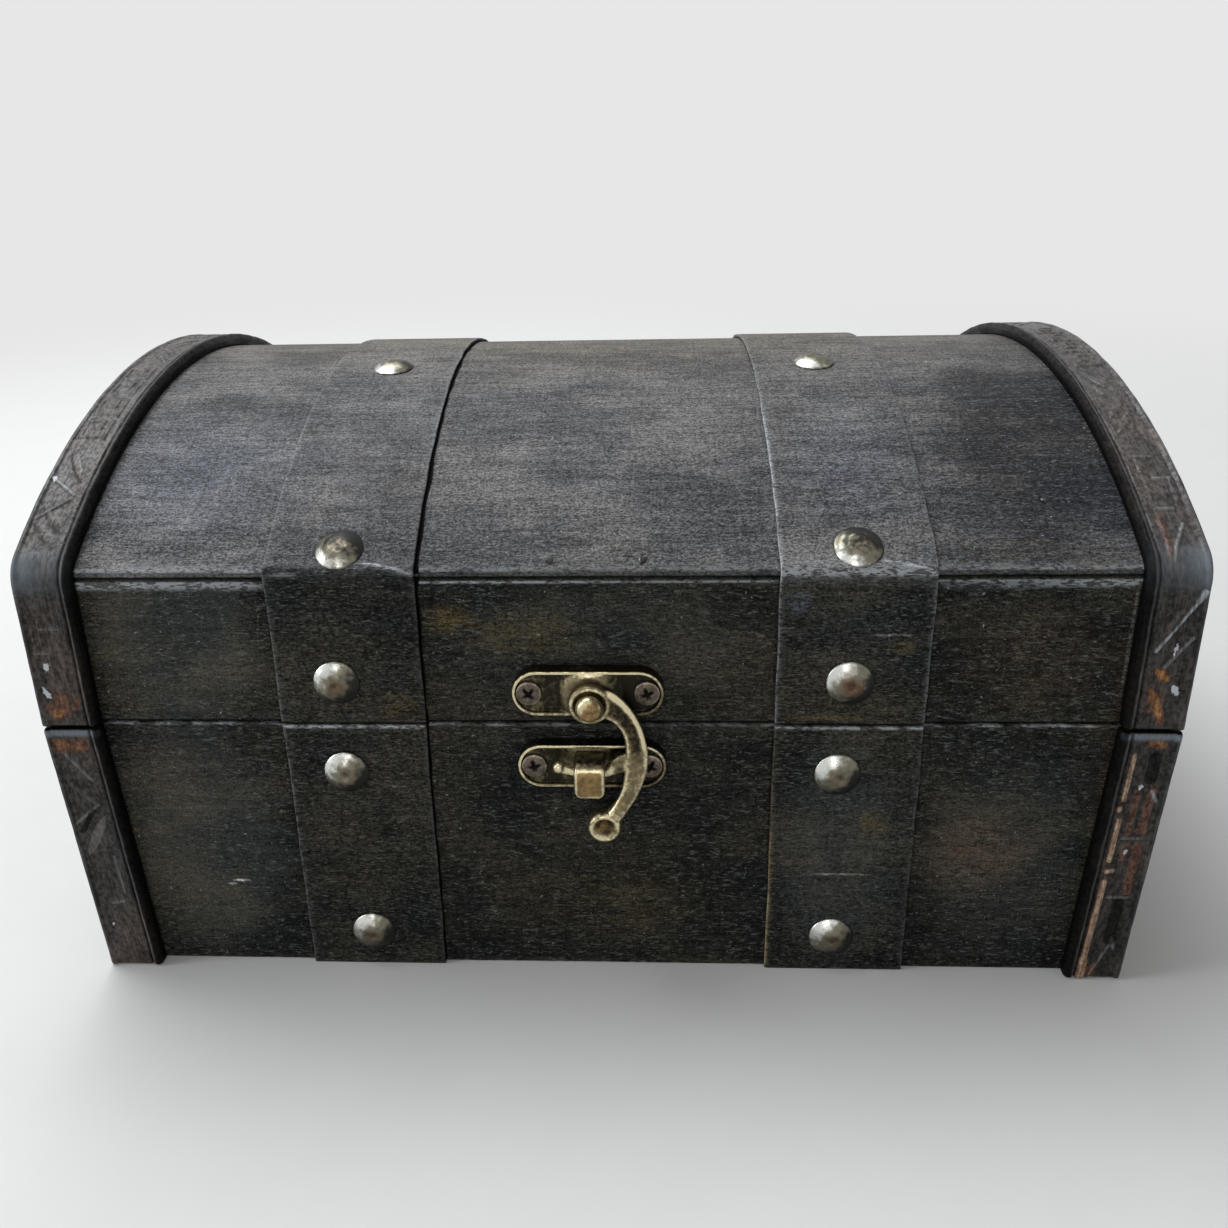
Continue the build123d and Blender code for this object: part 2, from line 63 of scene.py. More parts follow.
# Smooth ramp of a value, from 0 at one place to 1 at another
def ramp(value, low=0.0, high=1.0):
    share = np.clip((value - low) / (high - low), 0, 1)
    return share * share * (3 - 2 * share)


# Bell that is 1 at its middle; a higher power makes it flatter on top
def bell(value, middle, reach, power=2):
    return np.exp(-((value - middle) / reach) ** power)


# Coordinates side by side, as the last axis of one array
def columns(*values):
    return np.stack(values, axis=-1)


# Running sum that starts at 0
def summed(steps):
    return np.concatenate(([0], np.cumsum(steps)))


# Strength read off a few stops of (place, strength)
def stopped(place, stops):
    return np.interp(place, *np.array(stops, float).T)


# Smooth wandering number at each point: a sum of seeded sine waves of about one wavelength
def wander(points, wavelength, seed, waves=14):
    draw = np.random.default_rng(seed)
    headings = draw.normal(size=(waves, 3))
    headings /= np.linalg.norm(headings, axis=1, keepdims=True)
    rates = 2 * np.pi / wavelength * draw.uniform(0.6, 1.7, waves)
    phases = draw.uniform(0, 2 * np.pi, waves)
    return np.sin(points @ (headings * rates[:, None]).T + phases).sum(axis=1) / np.sqrt(waves / 2)


# Cosines and sines of even angles round a circle
def circle(count):
    angle = np.linspace(0, 2 * np.pi, count, endpoint=False)
    return np.cos(angle), np.sin(angle)


# Shape of a grid of points, with its second direction closed on itself
def ringShape(grid, marks=None):
    return {"points": grid.reshape(-1, 3), "quads": gridQuads(*grid.shape[:2], True), "marks": marks or {}}


# Corner numbers of the quads of a grid
def gridQuads(rows, count, closed=False):
    row, column = np.meshgrid(np.arange(rows - 1), np.arange(count - (not closed)), indexing="ij")
    after = (column + 1) % count
    low, high = row * count, (row + 1) * count
    corners = (low + column, high + column, high + after, low + after)
    return np.stack([c.ravel() for c in corners], axis=1)


# Grid lines of a board: steps over its rounding, lines beside it, and how far its edge mark reaches
boardGrid = dict(roundSteps=3, beside=0.3, coarse=0.6, edgeReach=0.45)


def slabLines(half, radius, step):
    turn = radius * np.tan(np.linspace(0, np.pi / 4, boardGrid["roundSteps"] + 1))
    inner = half - radius
    middle = np.linspace(-inner, inner, max(2, int(np.ceil(2 * inner / step)) + 1))
    if inner > step > boardGrid["coarse"]:
        middle = np.union1d(middle, (-inner + boardGrid["beside"], inner - boardGrid["beside"]))
    return np.concatenate((-inner - turn[:0:-1], middle, inner + turn[1:]))


# Board with rounded edges: each grid point of a box goes to its nearest point on the box shrunk by the
# radius, plus one radius on the way out. The edge mark falls off with the distance to the nearest edge.
# Closer lines can be asked for along an axis, where a thin worn line has to stay crisp.
def slab(sizes, radius, steps, closer=None):
    half = np.array(sizes) / 2
    lines = [slabLines(h, radius, step) for h, step in zip(half, steps)]
    for axis, places in (closer or {}).items():
        lines[axis] = np.unique(np.round(np.concatenate((lines[axis], places)), 4))
    points, quads, total = [], [], 0
    for axis in range(3):
        b, c = (axis + 1) % 3, (axis + 2) % 3
        gridB, gridC = np.meshgrid(lines[b], lines[c], indexing="ij")
        for side in (-1, 1):
            face = np.empty((gridB.size, 3))
            face[:, axis], face[:, b], face[:, c] = side * half[axis], gridB.ravel(), gridC.ravel()
            quads.append(gridQuads(*gridB.shape)[:, ::side] + total)
            points.append(face)
            total += len(face)
    flat, quads = np.concatenate(points), np.concatenate(quads)
    _, first, back = np.unique(np.round(flat * 1e5).astype(np.int64), axis=0,
                               return_index=True, return_inverse=True)
    flat = flat[first]
    inner = np.clip(flat, radius - half, half - radius)
    out = flat - inner
    rounded = inner + radius * out / np.linalg.norm(out, axis=1, keepdims=True)
    edge = np.exp(-np.sort(half - np.abs(flat), axis=1)[:, 1] / boardGrid["edgeReach"])
    return {"points": rounded, "quads": back.ravel()[quads], "marks": {"edge": edge}}


# Profile of radius and height turned round the z axis
def lathe(profile, around):
    radius, height = np.array(profile, float).T[:, :, None]
    cosine, sine = circle(around)
    return ringShape(columns(radius * cosine, radius * sine, height + 0 * sine))


# Rounded curve through a few profile points: even steps along straight runs, corners cut by averaging
def eased(profile, step, passes=2):
    profile = np.array(profile, float)
    reach = summed(np.hypot(*np.diff(profile, axis=0).T))
    even = np.linspace(0, reach[-1], int(np.ceil(reach[-1] / step)) + 1)
    line = columns(*(np.interp(even, reach, profile[:, k]) for k in (0, 1)))
    for _ in range(passes):
        line[1:-1] = (line[:-2] + 2 * line[1:-1] + line[2:]) / 4
    return line


# Several shapes as one
def joined(shapes):
    starts = summed([len(s["points"]) for s in shapes])
    return {
        "points": np.concatenate([s["points"] for s in shapes]),
        "quads": np.concatenate([s["quads"] + start for s, start in zip(shapes, starts)]),
        "marks": {name: np.concatenate([s["marks"][name] for s in shapes]) for name in shapes[0]["marks"]},
    }


# Shape made about z = 0, stood at a place with its z axis along outward and its x axis along sideways
def stood(shape, place, outward, sideways=(1, 0, 0)):
    outward = np.array(outward, float) / np.linalg.norm(outward)
    turn = np.stack([sideways, np.cross(outward, sideways), outward])
    return {**shape, "points": shape["points"] @ turn + np.array(place, float)}


# Path in the side view, given as runs of a length and a turn. It hands back a function that carries
# (distance along, height above) to depth and height: the heading is the integral of the turns, and
# the place is the integral of the heading.
def runPath(start, heading, runs, fine=0.02):
    lengths, turns = np.array(runs, float).T
    reach, headings = summed(lengths), heading + summed(turns)
    even = np.linspace(0, reach[-1], int(reach[-1] / fine) + 1)
    angle = np.interp((even[1:] + even[:-1]) / 2, reach, headings)
    depth = start[0] + summed(np.cos(angle) * even[1])
    height = start[1] + summed(np.sin(angle) * even[1])

    def carry(along, above):
        turn = np.interp(along, reach, headings)
        return (np.interp(along, even, depth) - above * np.sin(turn),
                np.interp(along, even, height) + above * np.cos(turn))

    return carry, reach[-1]


# The same path for the lid's outline, from its front edge over the arch, with rounded shoulders
def lidPath(cornerRadius):
    depth, reach = halfDepth - cornerRadius, archRadius - cornerRadius
    rise = archHeight(depth, reach) - lidBottom
    slope = np.arcsin(depth / reach)
    bend = np.pi / 2 - slope
    shoulder = (cornerRadius * bend, -bend)
    runs = [(rise, 0), shoulder, (2 * archRadius * slope, -2 * slope), shoulder, (rise, 0)]
    return runPath((-halfDepth, lidBottom), np.pi / 2, runs)


# The body's front outline runs up and its back outline runs down
def bodyPath(turn):
    return runPath((turn * halfDepth, bodyTop * (turn > 0)), -turn * np.pi / 2, [(bodyTop, 0)])


def setMark(mesh, name, values):
    kind, field = ("FLOAT", "value") if values.ndim == 1 else ("FLOAT_VECTOR", "vector")
    mesh.attributes.new(name, kind, "POINT").data.foreach_set(field, values.astype(np.float32).ravel())


# Puts a shape into a mesh that rides on a body and stands for a node. Its finish is the slot's own,
# unless another is given
def makePiece(name, shape, slotName, body, stands, finish=None):
    points, quads = shape["points"], shape["quads"]
    mesh = bpy.data.meshes.new(name)
    mesh.vertices.add(len(points))
    points[:, 2] = np.maximum(points[:, 2], 0)
    mesh.vertices.foreach_set("co", (points * mm).astype(np.float32).ravel())
    mesh.loops.add(quads.size)
    mesh.loops.foreach_set("vertex_index", quads.astype(np.int32).ravel())
    mesh.polygons.add(len(quads))
    mesh.polygons.foreach_set("loop_start", np.arange(0, quads.size, 4, dtype=np.int32))
    mesh.update(calc_edges=True)
    for markName, values in shape["marks"].items():
        setMark(mesh, markName, values)
    work = bmesh.new()
    work.from_mesh(mesh)
    bmesh.ops.remove_doubles(work, verts=work.verts, dist=2e-7)
    bmesh.ops.recalc_face_normals(work, faces=work.faces)
    work.to_mesh(mesh)
    work.free()
    mesh.shade_smooth()
    mesh.materials.append(finish or finishes[slotName])
    piece = bpy.data.objects.new(name, mesh)
    bpy.context.scene.collection.objects.link(piece)
    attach(piece, body)
    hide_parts(stands)
    return piece


# Node with its inputs filled from numbers, colours or other nodes' outputs
def addNode(tree, kind, inputs, **settings):
    node = tree.nodes.new("ShaderNode" + kind)
    for key, value in settings.items():
        setattr(node, key, value)
    for key, value in inputs.items():
        if isinstance(value, Output):
            tree.links.new(value.socket, node.inputs[key])
        else:
            node.inputs[key].default_value = (*value, 1.0) if node.inputs[key].type == "RGBA" else value
    return node


# One output of a node. Sums, ramps and mixes of outputs are further nodes of the same tree
class Output:
    def __init__(self, node, key=0):
        self.tree, self.socket = node.id_data, node.outputs[key]

    def combined(self, kind, way, inputs, key=0):
        return Output(addNode(self.tree, kind, inputs, operation=way), key)

    def __add__(self, other):
        return self.combined("Math", "ADD", {0: self, 1: other})

    def __sub__(self, other):
        return self.combined("Math", "SUBTRACT", {0: self, 1: other})

    def __mul__(self, other):
        return self.combined("Math", "MULTIPLY", {0: self, 1: other})

    # Stretched smoothly from one range to another, and kept there
    def ranged(self, low, high, toLow=0.0, toHigh=1.0):
        inputs = {"Value": self, "From Min": low, "From Max": high, "To Min": toLow, "To Max": toHigh}
        return Output(addNode(self.tree, "MapRange", inputs, interpolation_type="SMOOTHSTEP"), "Result")

    # Colour that goes from the first to the second with this share
    def mix(self, first, second):
        return Output(addNode(self.tree, "Mix", {0: self, 6: first, 7: second}, data_type="RGBA"), 2)

    # Noise at this place whose patches are stretched: the stretch is patches per metre along each axis
    def noise(self, stretch, detail=3, rough=0.6):
        mapped = Output(addNode(self.tree, "Mapping", {"Vector": self, "Scale": stretch}))
        inputs = {"Vector": mapped, "Scale": 1.0, "Detail": detail, "Roughness": rough}
        return Output(addNode(self.tree, "TexNoise", inputs), "Fac")

    # Share that is 1 in the middle of an ellipsoid given in millimetres and fades out at its skin
    def spot(self, middle, reach):
        away = self.combined("VectorMath", "SUBTRACT", {0: self, 1: [mm * c for c in middle]})
        shares = self.combined("VectorMath", "DIVIDE", {0: away, 1: [mm * c for c in reach]})
        return self.combined("VectorMath", "LENGTH", {0: shares}, "Value").ranged(1.0, 0.25)

    def scaled(self, share):
        return self.combined("VectorMath", "SCALE", {0: self, "Scale": share})


# Material with its tree, and the place on the object
def newFinish(name):
    finish = bpy.data.materials.new(name)
    finish.use_nodes = True
    tree = finish.node_tree
    tree.nodes.clear()
    return finish, tree, Output(addNode(tree, "TexCoord", {}), "Object")


def mark(tree, name, key="Fac"):
    return Output(addNode(tree, "Attribute", {}, attribute_name=name), key)


# Share that goes from 0 to 1 over a stretch of height, given in millimetres
def aboveTurn(place, turn):
    height = Output(addNode(place.tree, "SeparateXYZ", {0: place}), "Z")
    return height.ranged(*(mm * z for z in turn))


# Closes a finish: its colour and roughness, a relief of (height, strength, distance), and other inputs
def shaded(finish, base, rough, relief, others):
    tree = finish.node_tree
    bump = addNode(tree, "Bump", dict(zip(("Height", "Strength", "Distance"), relief)))
    inputs = {"Base Color": base, "Roughness": rough, "Normal": Output(bump)}
    shader = addNode(tree, "BsdfPrincipled", {**inputs, **others})
    addNode(tree, "OutputMaterial", {"Surface": Output(shader)})
    return finish


# Dark stained wood: fine threads and grit along the grain, pale flecks, short dark cracks, faint lines
# across the grain, blotches of ochre, pale worn edges where the marks say so, and near-black painted shade
# where the shade mark says so. The upright faces take darker, greener colours and the arch lighter ones:
# painted shade and painted light, as the light falls from above.
woodLook = dict(
    front=(0.0125, 0.0142, 0.0132), frontSecond=(0.0260, 0.0248, 0.0190), arch=(0.068, 0.069, 0.073),
    archSecond=(0.102, 0.100, 0.100), paintedCoolLight=(0.085, 0.096, 0.125), ochre=(0.088, 0.066, 0.027),
    brown=(0.052, 0.037, 0.026), paintedWarmReflection=(0.100, 0.086, 0.064), scratch=(0.42, 0.42, 0.40),
    frontFleck=(0.200, 0.220, 0.205), frontWarm=(0.205, 0.180, 0.125), archFleck=(0.250, 0.265, 0.295),
    archWarm=(0.255, 0.240, 0.212), speck=(0.42, 0.45, 0.44), nearBlack=(0.004, 0.004, 0.004),
    worn=(0.50, 0.53, 0.56), tan=(0.42, 0.34, 0.19), edge=(0.085, 0.083, 0.075),
    frontShine=(0.03, 0.20), archShine=(0.05, 0.42), rough=(0.42, 0.64), bump=0.5, turn=(88.0, 88.7),
    frontFlecks=0.52, archFlecks=0.36, specks=0.75, cracks=0.30,
    swing=dict(thread=0.38, grit=0.46, streak=0.22, weave=0.10, cloud=0.16),
)
# Patches per metre along the grain and across it, and the detail of each layer of noise
grainStretch = dict(
    thread=(950, 2900, 2), grit=(2200, 2600, 2), streak=(70, 800, 3), weave=(1500, 160, 2),
    cloud=(42, 60, 4), patch=(24, 60, 4), mottle=(430, 900, 3), fleck=(740, 2700, 2),
    nearBlack=(480, 2700, 1), dust=(1300, 1500, 1),
)
# Blotches and lines: middle and reach in millimetres, and strength where broken and where whole. The cool
# spots are painted cool light, and the warm one is a painted warm reflection over the crown. Of the
# near-black lines, the three along the strap edges are painted shade, and the two on the left of the arch
# are dark lines in the wood.
woodSpots = dict(
    ochre=(((-28, -75, 80), (7, 5, 4), 0.3, 0.9), ((-14, -75, 77), (17, 5, 7), 0.1, 0.4),
           ((2, -75, 17), (30, 5, 13), 0.05, 0.30), ((43, -76, 59.8), (10, 3, 0.8), 0.5, 1.0),
           ((56, -76, 74.6), (4, 3, 1.8), 0.2, 0.6), ((53, -76, 36), (5, 3, 5), 0.1, 0.4),
           ((-38, -76, 62), (5, 5, 4), 0.1, 0.6)),
    brown=(((74, -75, 29), (15, 5, 12), 0.2, 0.9), ((80, -75, 72), (19, 5, 14), 0.1, 0.55),
           ((-86, -75, 48), (11, 5, 9), 0.1, 0.4), ((96.4, -75, 40), (2.5, 3, 60), 0.2, 0.6)),
    paintedWarmReflection=(((0, 30, 112), (170, 58, 14), 0.6, 0.9),),
    paintedCoolLight=(((37, -76, 84), (3.5, 3, 3), 0.2, 0.8), ((-80, -46, 98), (36, 34, 16), 0.3, 0.6),
          ((48, -46, 100), (18, 34, 14), 0.2, 0.5), ((92, -60, 96), (18, 24, 12), 0.1, 0.4)),
    scratch=(((54, -76, 77.2), (5.5, 3, 0.45), 0.0, 0.40), ((50, -76, 66.8), (7, 3, 0.35), 0.0, 0.35),
             ((47, -76, 24), (9, 3, 0.4), 0.0, 0.35), ((-74.6, -75, 20.3), (2.3, 2, 0.4), 0.5, 1.0),
             ((-76.6, -75, 19.4), (1.2, 2, 0.4), 0.5, 0.8), ((-41, -76, 44), (5, 3, 0.4), 0.0, 0.3),
             ((96.6, -75, 76), (0.5, 3, 17), 0.1, 0.30)),
    nearBlack=(((61.6, -75, 45), (0.4, 30, 90), 0.3, 0.6), ((-61.6, -75, 45), (0.35, 30, 90), 0.2, 0.5),
           ((32.9, -75, 45), (0.35, 30, 90), 0.3, 0.6), ((-77, -52, 101), (0.5, 26, 14), 0.2, 0.45),
           ((-72.5, -52, 101), (0.5, 26, 14), 0.1, 0.4)),
)
# Lighter and darker stretches: middle, reach and how many times the tone. The first four, on the arch, are
# painted light and shade, lighter to the left and darker to the right as the light falls from the left;
# the others lighten stretches of the upright faces.
lightAndToneSpots = (
    ((88, -40, 100), (34, 62, 26), 0.42), ((-82, -52, 98), (34, 34, 16), 1.20),
    ((-47, -30, 104), (18, 56, 18), 1.26), ((0, -44, 102), (34, 30, 14), 1.10),
    ((-80, -75, 30), (23, 6, 40), 2.4), ((-80, -75, 76), (23, 6, 26), 2.5),
    ((0, -75, 76), (42, 6, 17), 1.6), ((47, -76, 28), (17, 4, 38), 2.2),
    ((80, -75, 28), (22, 6, 36), 1.7), ((47, -76, 76), (17, 4, 18), 1.3),
)


# Two darker colours by a share on the upright faces, and two lighter ones on the arch: painted shade on the
# upright faces and painted light on the arch
def shadedUprightLitArch(onArch, share, look, *keys):
    upright, uprightSecond, lying, lyingSecond = (look[key] for key in keys)
    return onArch.mix(share.mix(upright, uprightSecond), share.mix(lying, lyingSecond))


def woodFinish(name, axis, spots=woodSpots, tones=lightAndToneSpots, **changes):
    finish, tree, place = newFinish(name)
    look = {**woodLook, **changes}
    grain = {key: place.noise([along if k == axis else across for k in range(3)], detail)
             for key, (along, across, detail) in grainStretch.items()}
    cloud, mottle = grain["cloud"], grain["mottle"]
    onArch, paintedShade = aboveTurn(place, look["turn"]), mark(tree, "paintedShade")
    tone = 1.0
    for key, swing in look["swing"].items():
        tone = grain[key].ranged(0.34, 0.66, 1 - swing, 1 + swing) * tone
    for middle, reach, times in tones:
        tone = place.spot(middle, reach).ranged(0.0, 1.0, 1.0, times) * tone
    base = shadedUprightLitArch(onArch, cloud.ranged(0.38, 0.62), look, "front", "frontSecond", "arch", "archSecond")
    rubbed = grain["patch"].ranged(0.54, 0.72) * mottle.ranged(0.42, 0.60, 0.0, 0.30)
    base = rubbed.mix(base, look["ochre"])
    for hue, places in spots.items():
        for middle, reach, least, most in places:
            share = place.spot(middle, reach) * mottle.ranged(0.36, 0.58, least, most)
            base = share.mix(base, look[hue])
    base = base.scaled(tone)
    fleckHues = ("frontFleck", "frontWarm", "archFleck", "archWarm")
    flecks = onArch.ranged(0.0, 1.0, look["frontFlecks"], look["archFlecks"])
    flecks = grain["fleck"].ranged(0.56, 0.69) * flecks
    base = flecks.mix(base, shadedUprightLitArch(onArch, cloud.ranged(0.40, 0.60), look, *fleckHues))
    base = grain["dust"].ranged(0.74, 0.80, 0.0, look["specks"]).mix(base, look["speck"])
    cracks = grain["nearBlack"].ranged(0.37, 0.30, 0.0, look["cracks"])
    base = cracks.mix(base, look["nearBlack"])
    ragged = (grain["thread"] + mottle).ranged(0.86, 1.12)
    for markName, hue, least in (("edge", "edge", 0.0), ("pale", "worn", 0.2), ("tan", "tan", 0.3)):
        share = mark(tree, markName) * ragged.ranged(0.0, 0.8, least, 1.0)
        base = share.mix(base, look[hue])
    # Painted shade: near-black where the shade mark says so, with little shine
    base = paintedShade.mix(base, look["nearBlack"])
    lowShine, highShine = (tone.ranged(0.35, 1.9, *look[key]) for key in ("frontShine", "archShine"))
    shine = onArch.ranged(0.0, 1.0, lowShine, highShine) * paintedShade.ranged(0.0, 1.0, 1.0, 0.1)
    rough = grain["thread"].ranged(0.3, 0.7, *look["rough"])
    relief = (tone * 0.5 - cracks, look["bump"], 0.0002)
    return shaded(finish, base, rough, relief, {"Specular IOR Level": shine})


# Moulding: brown-black ground, a little lighter on the raised strokes, mottled orange where the stain is
# rubbed off, red-brown or tan on the rubbed strokes, thin pale ridges and a few white chips. Painted light
# and shade too: a lighter ground on the arch, a pale-blue painted sheen on the shoulders and top ends, and
# near-black painted shade
bandLook = dict(
    ground=(0.012, 0.0115, 0.0105), field=(0.031, 0.028, 0.024), litArchGround=(0.038, 0.036, 0.037),
    litArchField=(0.072, 0.066, 0.062), raised=(0.070, 0.060, 0.051), pale=(0.40, 0.43, 0.46),
    rub=(0.190, 0.078, 0.026), rubPale=(0.42, 0.215, 0.070), russet=(0.112, 0.047, 0.027),
    paintedSheen=(0.165, 0.195, 0.225), tan=(0.43, 0.31, 0.215), tanEdge=(0.17, 0.080, 0.045),
    chip=(0.62, 0.66, 0.70), dusty=(0.085, 0.062, 0.052), black=(0.004, 0.004, 0.004),
    shine=(0.12, 0.42), bump=0.4, turn=(88.0, 93.0),
)


def bandFinish(name, look):
    finish, tree, place = newFinish(name)
    flat = mark(tree, "flat", "Vector")
    grain, cloud = flat.noise((2600, 190, 2600)), flat.noise((170, 110, 170), 4, 0.65)
    speck, fine = flat.noise((1500, 1100, 1500)), flat.noise((620, 520, 620))
    base = shadedUprightLitArch(aboveTurn(place, look["turn"]), cloud.ranged(0.36, 0.64), look,
                    "ground", "field", "litArchGround", "litArchField")
    worn = mark(tree, "rub") + fine.ranged(0.3, 0.7, -0.35, 0.20)
    bare = worn.ranged(0.80, 1.25).mix(look["rub"], look["rubPale"])
    yellow, paintedShade = mark(tree, "tan"), mark(tree, "paintedShade")
    for share, hue in (
        (mark(tree, "relief") * speck.ranged(0.35, 0.6, 0.25, 0.75), look["raised"]),
        (mark(tree, "dusty") * cloud.ranged(0.36, 0.60, 0.2, 1.0), look["dusty"]),
        (worn.ranged(0.15, 0.60, 0.0, 0.85), look["russet"]),
        (worn.ranged(0.42, 0.95, 0.0, 0.9), bare),
        (mark(tree, "russet") * speck.ranged(0.34, 0.52, 0.45, 1.0), look["russet"]),
        (yellow.ranged(0.1, 0.5), look["tanEdge"]),
        (yellow.ranged(0.45, 0.95) * grain.ranged(0.35, 0.6, 0.35, 1.0), look["tan"]),
    ):
        base = share.mix(base, hue)
    tone = speck.ranged(0.34, 0.66, 0.66, 1.34) * grain.ranged(0.34, 0.66, 0.8, 1.2)
    base = base.scaled(tone)
    chipped = mark(tree, "chip") + speck.ranged(0.35, 0.65, -0.35, 0.2)
    # Pale ridges, white chips, painted sheen, and near-black painted shade where the shade mark says so
    for share, hue in (
        (mark(tree, "pale") * grain.ranged(0.36, 0.56, 0.4, 1.0), "pale"),
        (chipped.ranged(0.35, 0.65), "chip"), (mark(tree, "paintedSheen"), "paintedSheen"), (paintedShade, "black"),
    ):
        base = share.mix(base, look[hue])
    shine = tone.ranged(0.5, 1.5, *look["shine"]) * paintedShade.ranged(0.0, 1.0, 1.0, 0.1)
    rough = cloud.ranged(0.3, 0.7, 0.32, 0.50)
    relief = (grain + speck, look["bump"], 0.0002)
    return shaded(finish, base, rough, relief, {"Specular IOR Level": shine})


# Metal: patina in the hollows, bare metal where the shine mark says that it is rubbed; on the studs, latch
# plates, rivet and hook the shine mark also holds painted highlights and painted shade
def metalFinish(name, look):
    finish, tree, place = newFinish(name)
    cloud, grit = place.noise([look["cloud"]] * 3), place.noise((3000, 3000, 3000))
    swing, tarnish = look["swing"], mark(tree, "stain")
    shine = mark(tree, "shine") + cloud.ranged(0.32, 0.68, -swing, swing)
    shine = shine + grit.ranged(0.35, 0.65, -0.3 * swing, 0.3 * swing)
    base = shine.ranged(0.05, 0.50).mix(look["patina"], look["metal"])
    base = shine.ranged(0.50, 0.95).mix(base, look["bright"])
    stained = tarnish * cloud.ranged(0.36, 0.60, 0.50, 1.0) * grit.ranged(0.34, 0.58, 0.65, 1.0)
    base = stained.mix(base, look["stain"])
    rough = shine.ranged(0.1, 0.9, *look["rough"]) + grit.ranged(0.3, 0.7, -0.04, 0.06) + tarnish * 0.25
    return shaded(finish, base, rough, (grit, look["bump"], 0.00012), {"Metallic": look["metallic"]})


studLook = dict(
    patina=(0.028, 0.028, 0.025), metal=(0.18, 0.170, 0.128), bright=(0.66, 0.67, 0.63),
    stain=(0.130, 0.070, 0.040), rough=(0.38, 0.26), bump=0.25, cloud=900, metallic=1.0, swing=0.10,
)
latchLook = dict(
    patina=(0.020, 0.017, 0.011), metal=(0.170, 0.142, 0.080), bright=(0.70, 0.62, 0.40),
    stain=(0.35, 0.205, 0.076), rough=(0.44, 0.27), bump=0.35, cloud=900, metallic=0.95, swing=0.15,
)
screwLook = dict(
    patina=(0.026, 0.021, 0.017), metal=(0.125, 0.101, 0.079), bright=(0.33, 0.28, 0.22),
    stain=(0.003, 0.003, 0.003), rough=(0.52, 0.34), bump=0.45, cloud=1100, metallic=0.9, swing=0.18,
)
hingeLook = {**latchLook, "metal": (0.20, 0.17, 0.105), "bright": (0.48, 0.42, 0.28), "cloud": 400,
             "swing": 0.17}
nailLook = {**screwLook, "metal": (0.030, 0.028, 0.028), "bright": (0.16, 0.15, 0.15)}

finishes = {
    "chest_wood": woodFinish("chestWood", 0),
    "strap_wood": woodFinish("strapWood", 0, frontShine=(0.04, 0.24), turn=(90.2, 91.2)),
    "moulded_band": bandFinish("mouldedBand", bandLook),
    "stud_metal": metalFinish("studMetal", studLook),
    "latch_bronze": metalFinish("latchBronze", latchLook),
    "screw_steel": metalFinish("screwSteel", screwLook),
    "hinge_brass": metalFinish("hingeBrass", hingeLook),
    "nail_iron": metalFinish("nailIron", nailLook),
}
endWood = woodFinish("endWood", 1, {}, (), turn=(400, 401), frontFlecks=0.32, specks=0.25)
print("finishes made")

board = dict(radius=0.4, step=1.2, wave=0.05, nick=0.10, groove=0.45, grooveReach=0.5)
# Where the pale worn line along an edge is strong: stops of X and strength
seamWear = ((-97, 0.7), (-62, 0.5), (-34, 0.8), (-30, 0.5), (0, 0.3), (30, 0.4), (62, 0.4), (97, 0.7))
sheetWear = ((-97, 1.0), (-63, 1.0), (-58, 0.35), (-35, 0.7), (-30, 0.6), (0, 0.45), (30, 0.5),
             (34, 0.8), (60, 0.7), (64, 0.5), (97, 0.7))
railWear = ((-97, 0.35), (-60, 0.3), (-32, 1.0), (-10, 0.9), (10, 0.6), (97, 0.6))
broadWear = ((-97, 0.9), (-64, 0.75), (-60, 0.0), (60, 0.0), (64, 0.35), (80, 0.5), (97, 0.8))
# Beside the left strap a black line of painted shadow, as cast by the strap's edge, lies in the corner:
# widths of that line at heights, and the grid lines that keep it crisp
strapShadowLine = dict(start=-33.3, width=((0, 0.40), (57, 0.50), (85, 0.60), (89, 0.85), (95, 0.95), (112, 0.6)),
                  lines=np.arange(-34.7, -31.2, 0.16))


# Share of the painted shadow line beside the left strap
def strapShadowMark(points):
    x, _, z = points.T
    width = stopped(z, strapShadowLine["width"]) + 0.10 * wander(points, 7, 25)
    return ramp(width - x + strapShadowLine["start"], 0, 0.2) * (x > strapShadowLine["start"] - 1.2)


# Front or back wall of the body, whose ends lean in. Hand-made boards aren't quite true: faces wander a
# little, and edges are nicked
def bodyWall(turn):
    thick, seed = chest["frontBoard"], 3 + turn
    wall = slab((2 * halfLength, thick, bodyTop), board["radius"], (board["step"], 3, board["step"]),
                {0: strapShadowLine["lines"], 2: bodyTop / 2 - np.arange(0.5, 1.0, 0.12)})
    flat, marks = wall["points"], wall["marks"]
    outer = ramp(flat[:, 1] - thick / 2, -0.55, -0.35)
    nick = board["nick"] * np.clip(wander(flat, 2.6, seed + 1) - 0.4, 0, 2) * marks["edge"]
    way = flat - flat.mean(axis=0)
    way *= (0, 1, 1) / np.linalg.norm(way, axis=1, keepdims=True)
    x, y, z = (flat + (board["wave"] * wander(flat, 24, seed) - nick)[:, None] * way).T
    z = z + bodyTop / 2
    wall["points"] = columns(x * (1 - leanIn(z) / halfLength), turn * (halfDepth - thick / 2 + y), z)
    broken = ramp(0.5 + 0.55 * wander(flat, 4, seed + 2))
    seamLine = ramp(bodyTop / 2 - flat[:, 2], 0.58, 0.38) * stopped(flat[:, 0], seamWear)
    marks["pale"] = seamLine * outer * broken
    # Painted shadow beside the left strap, on the outer face
    marks["paintedShade"] = strapShadowMark(wall["points"]) * outer
    return wall


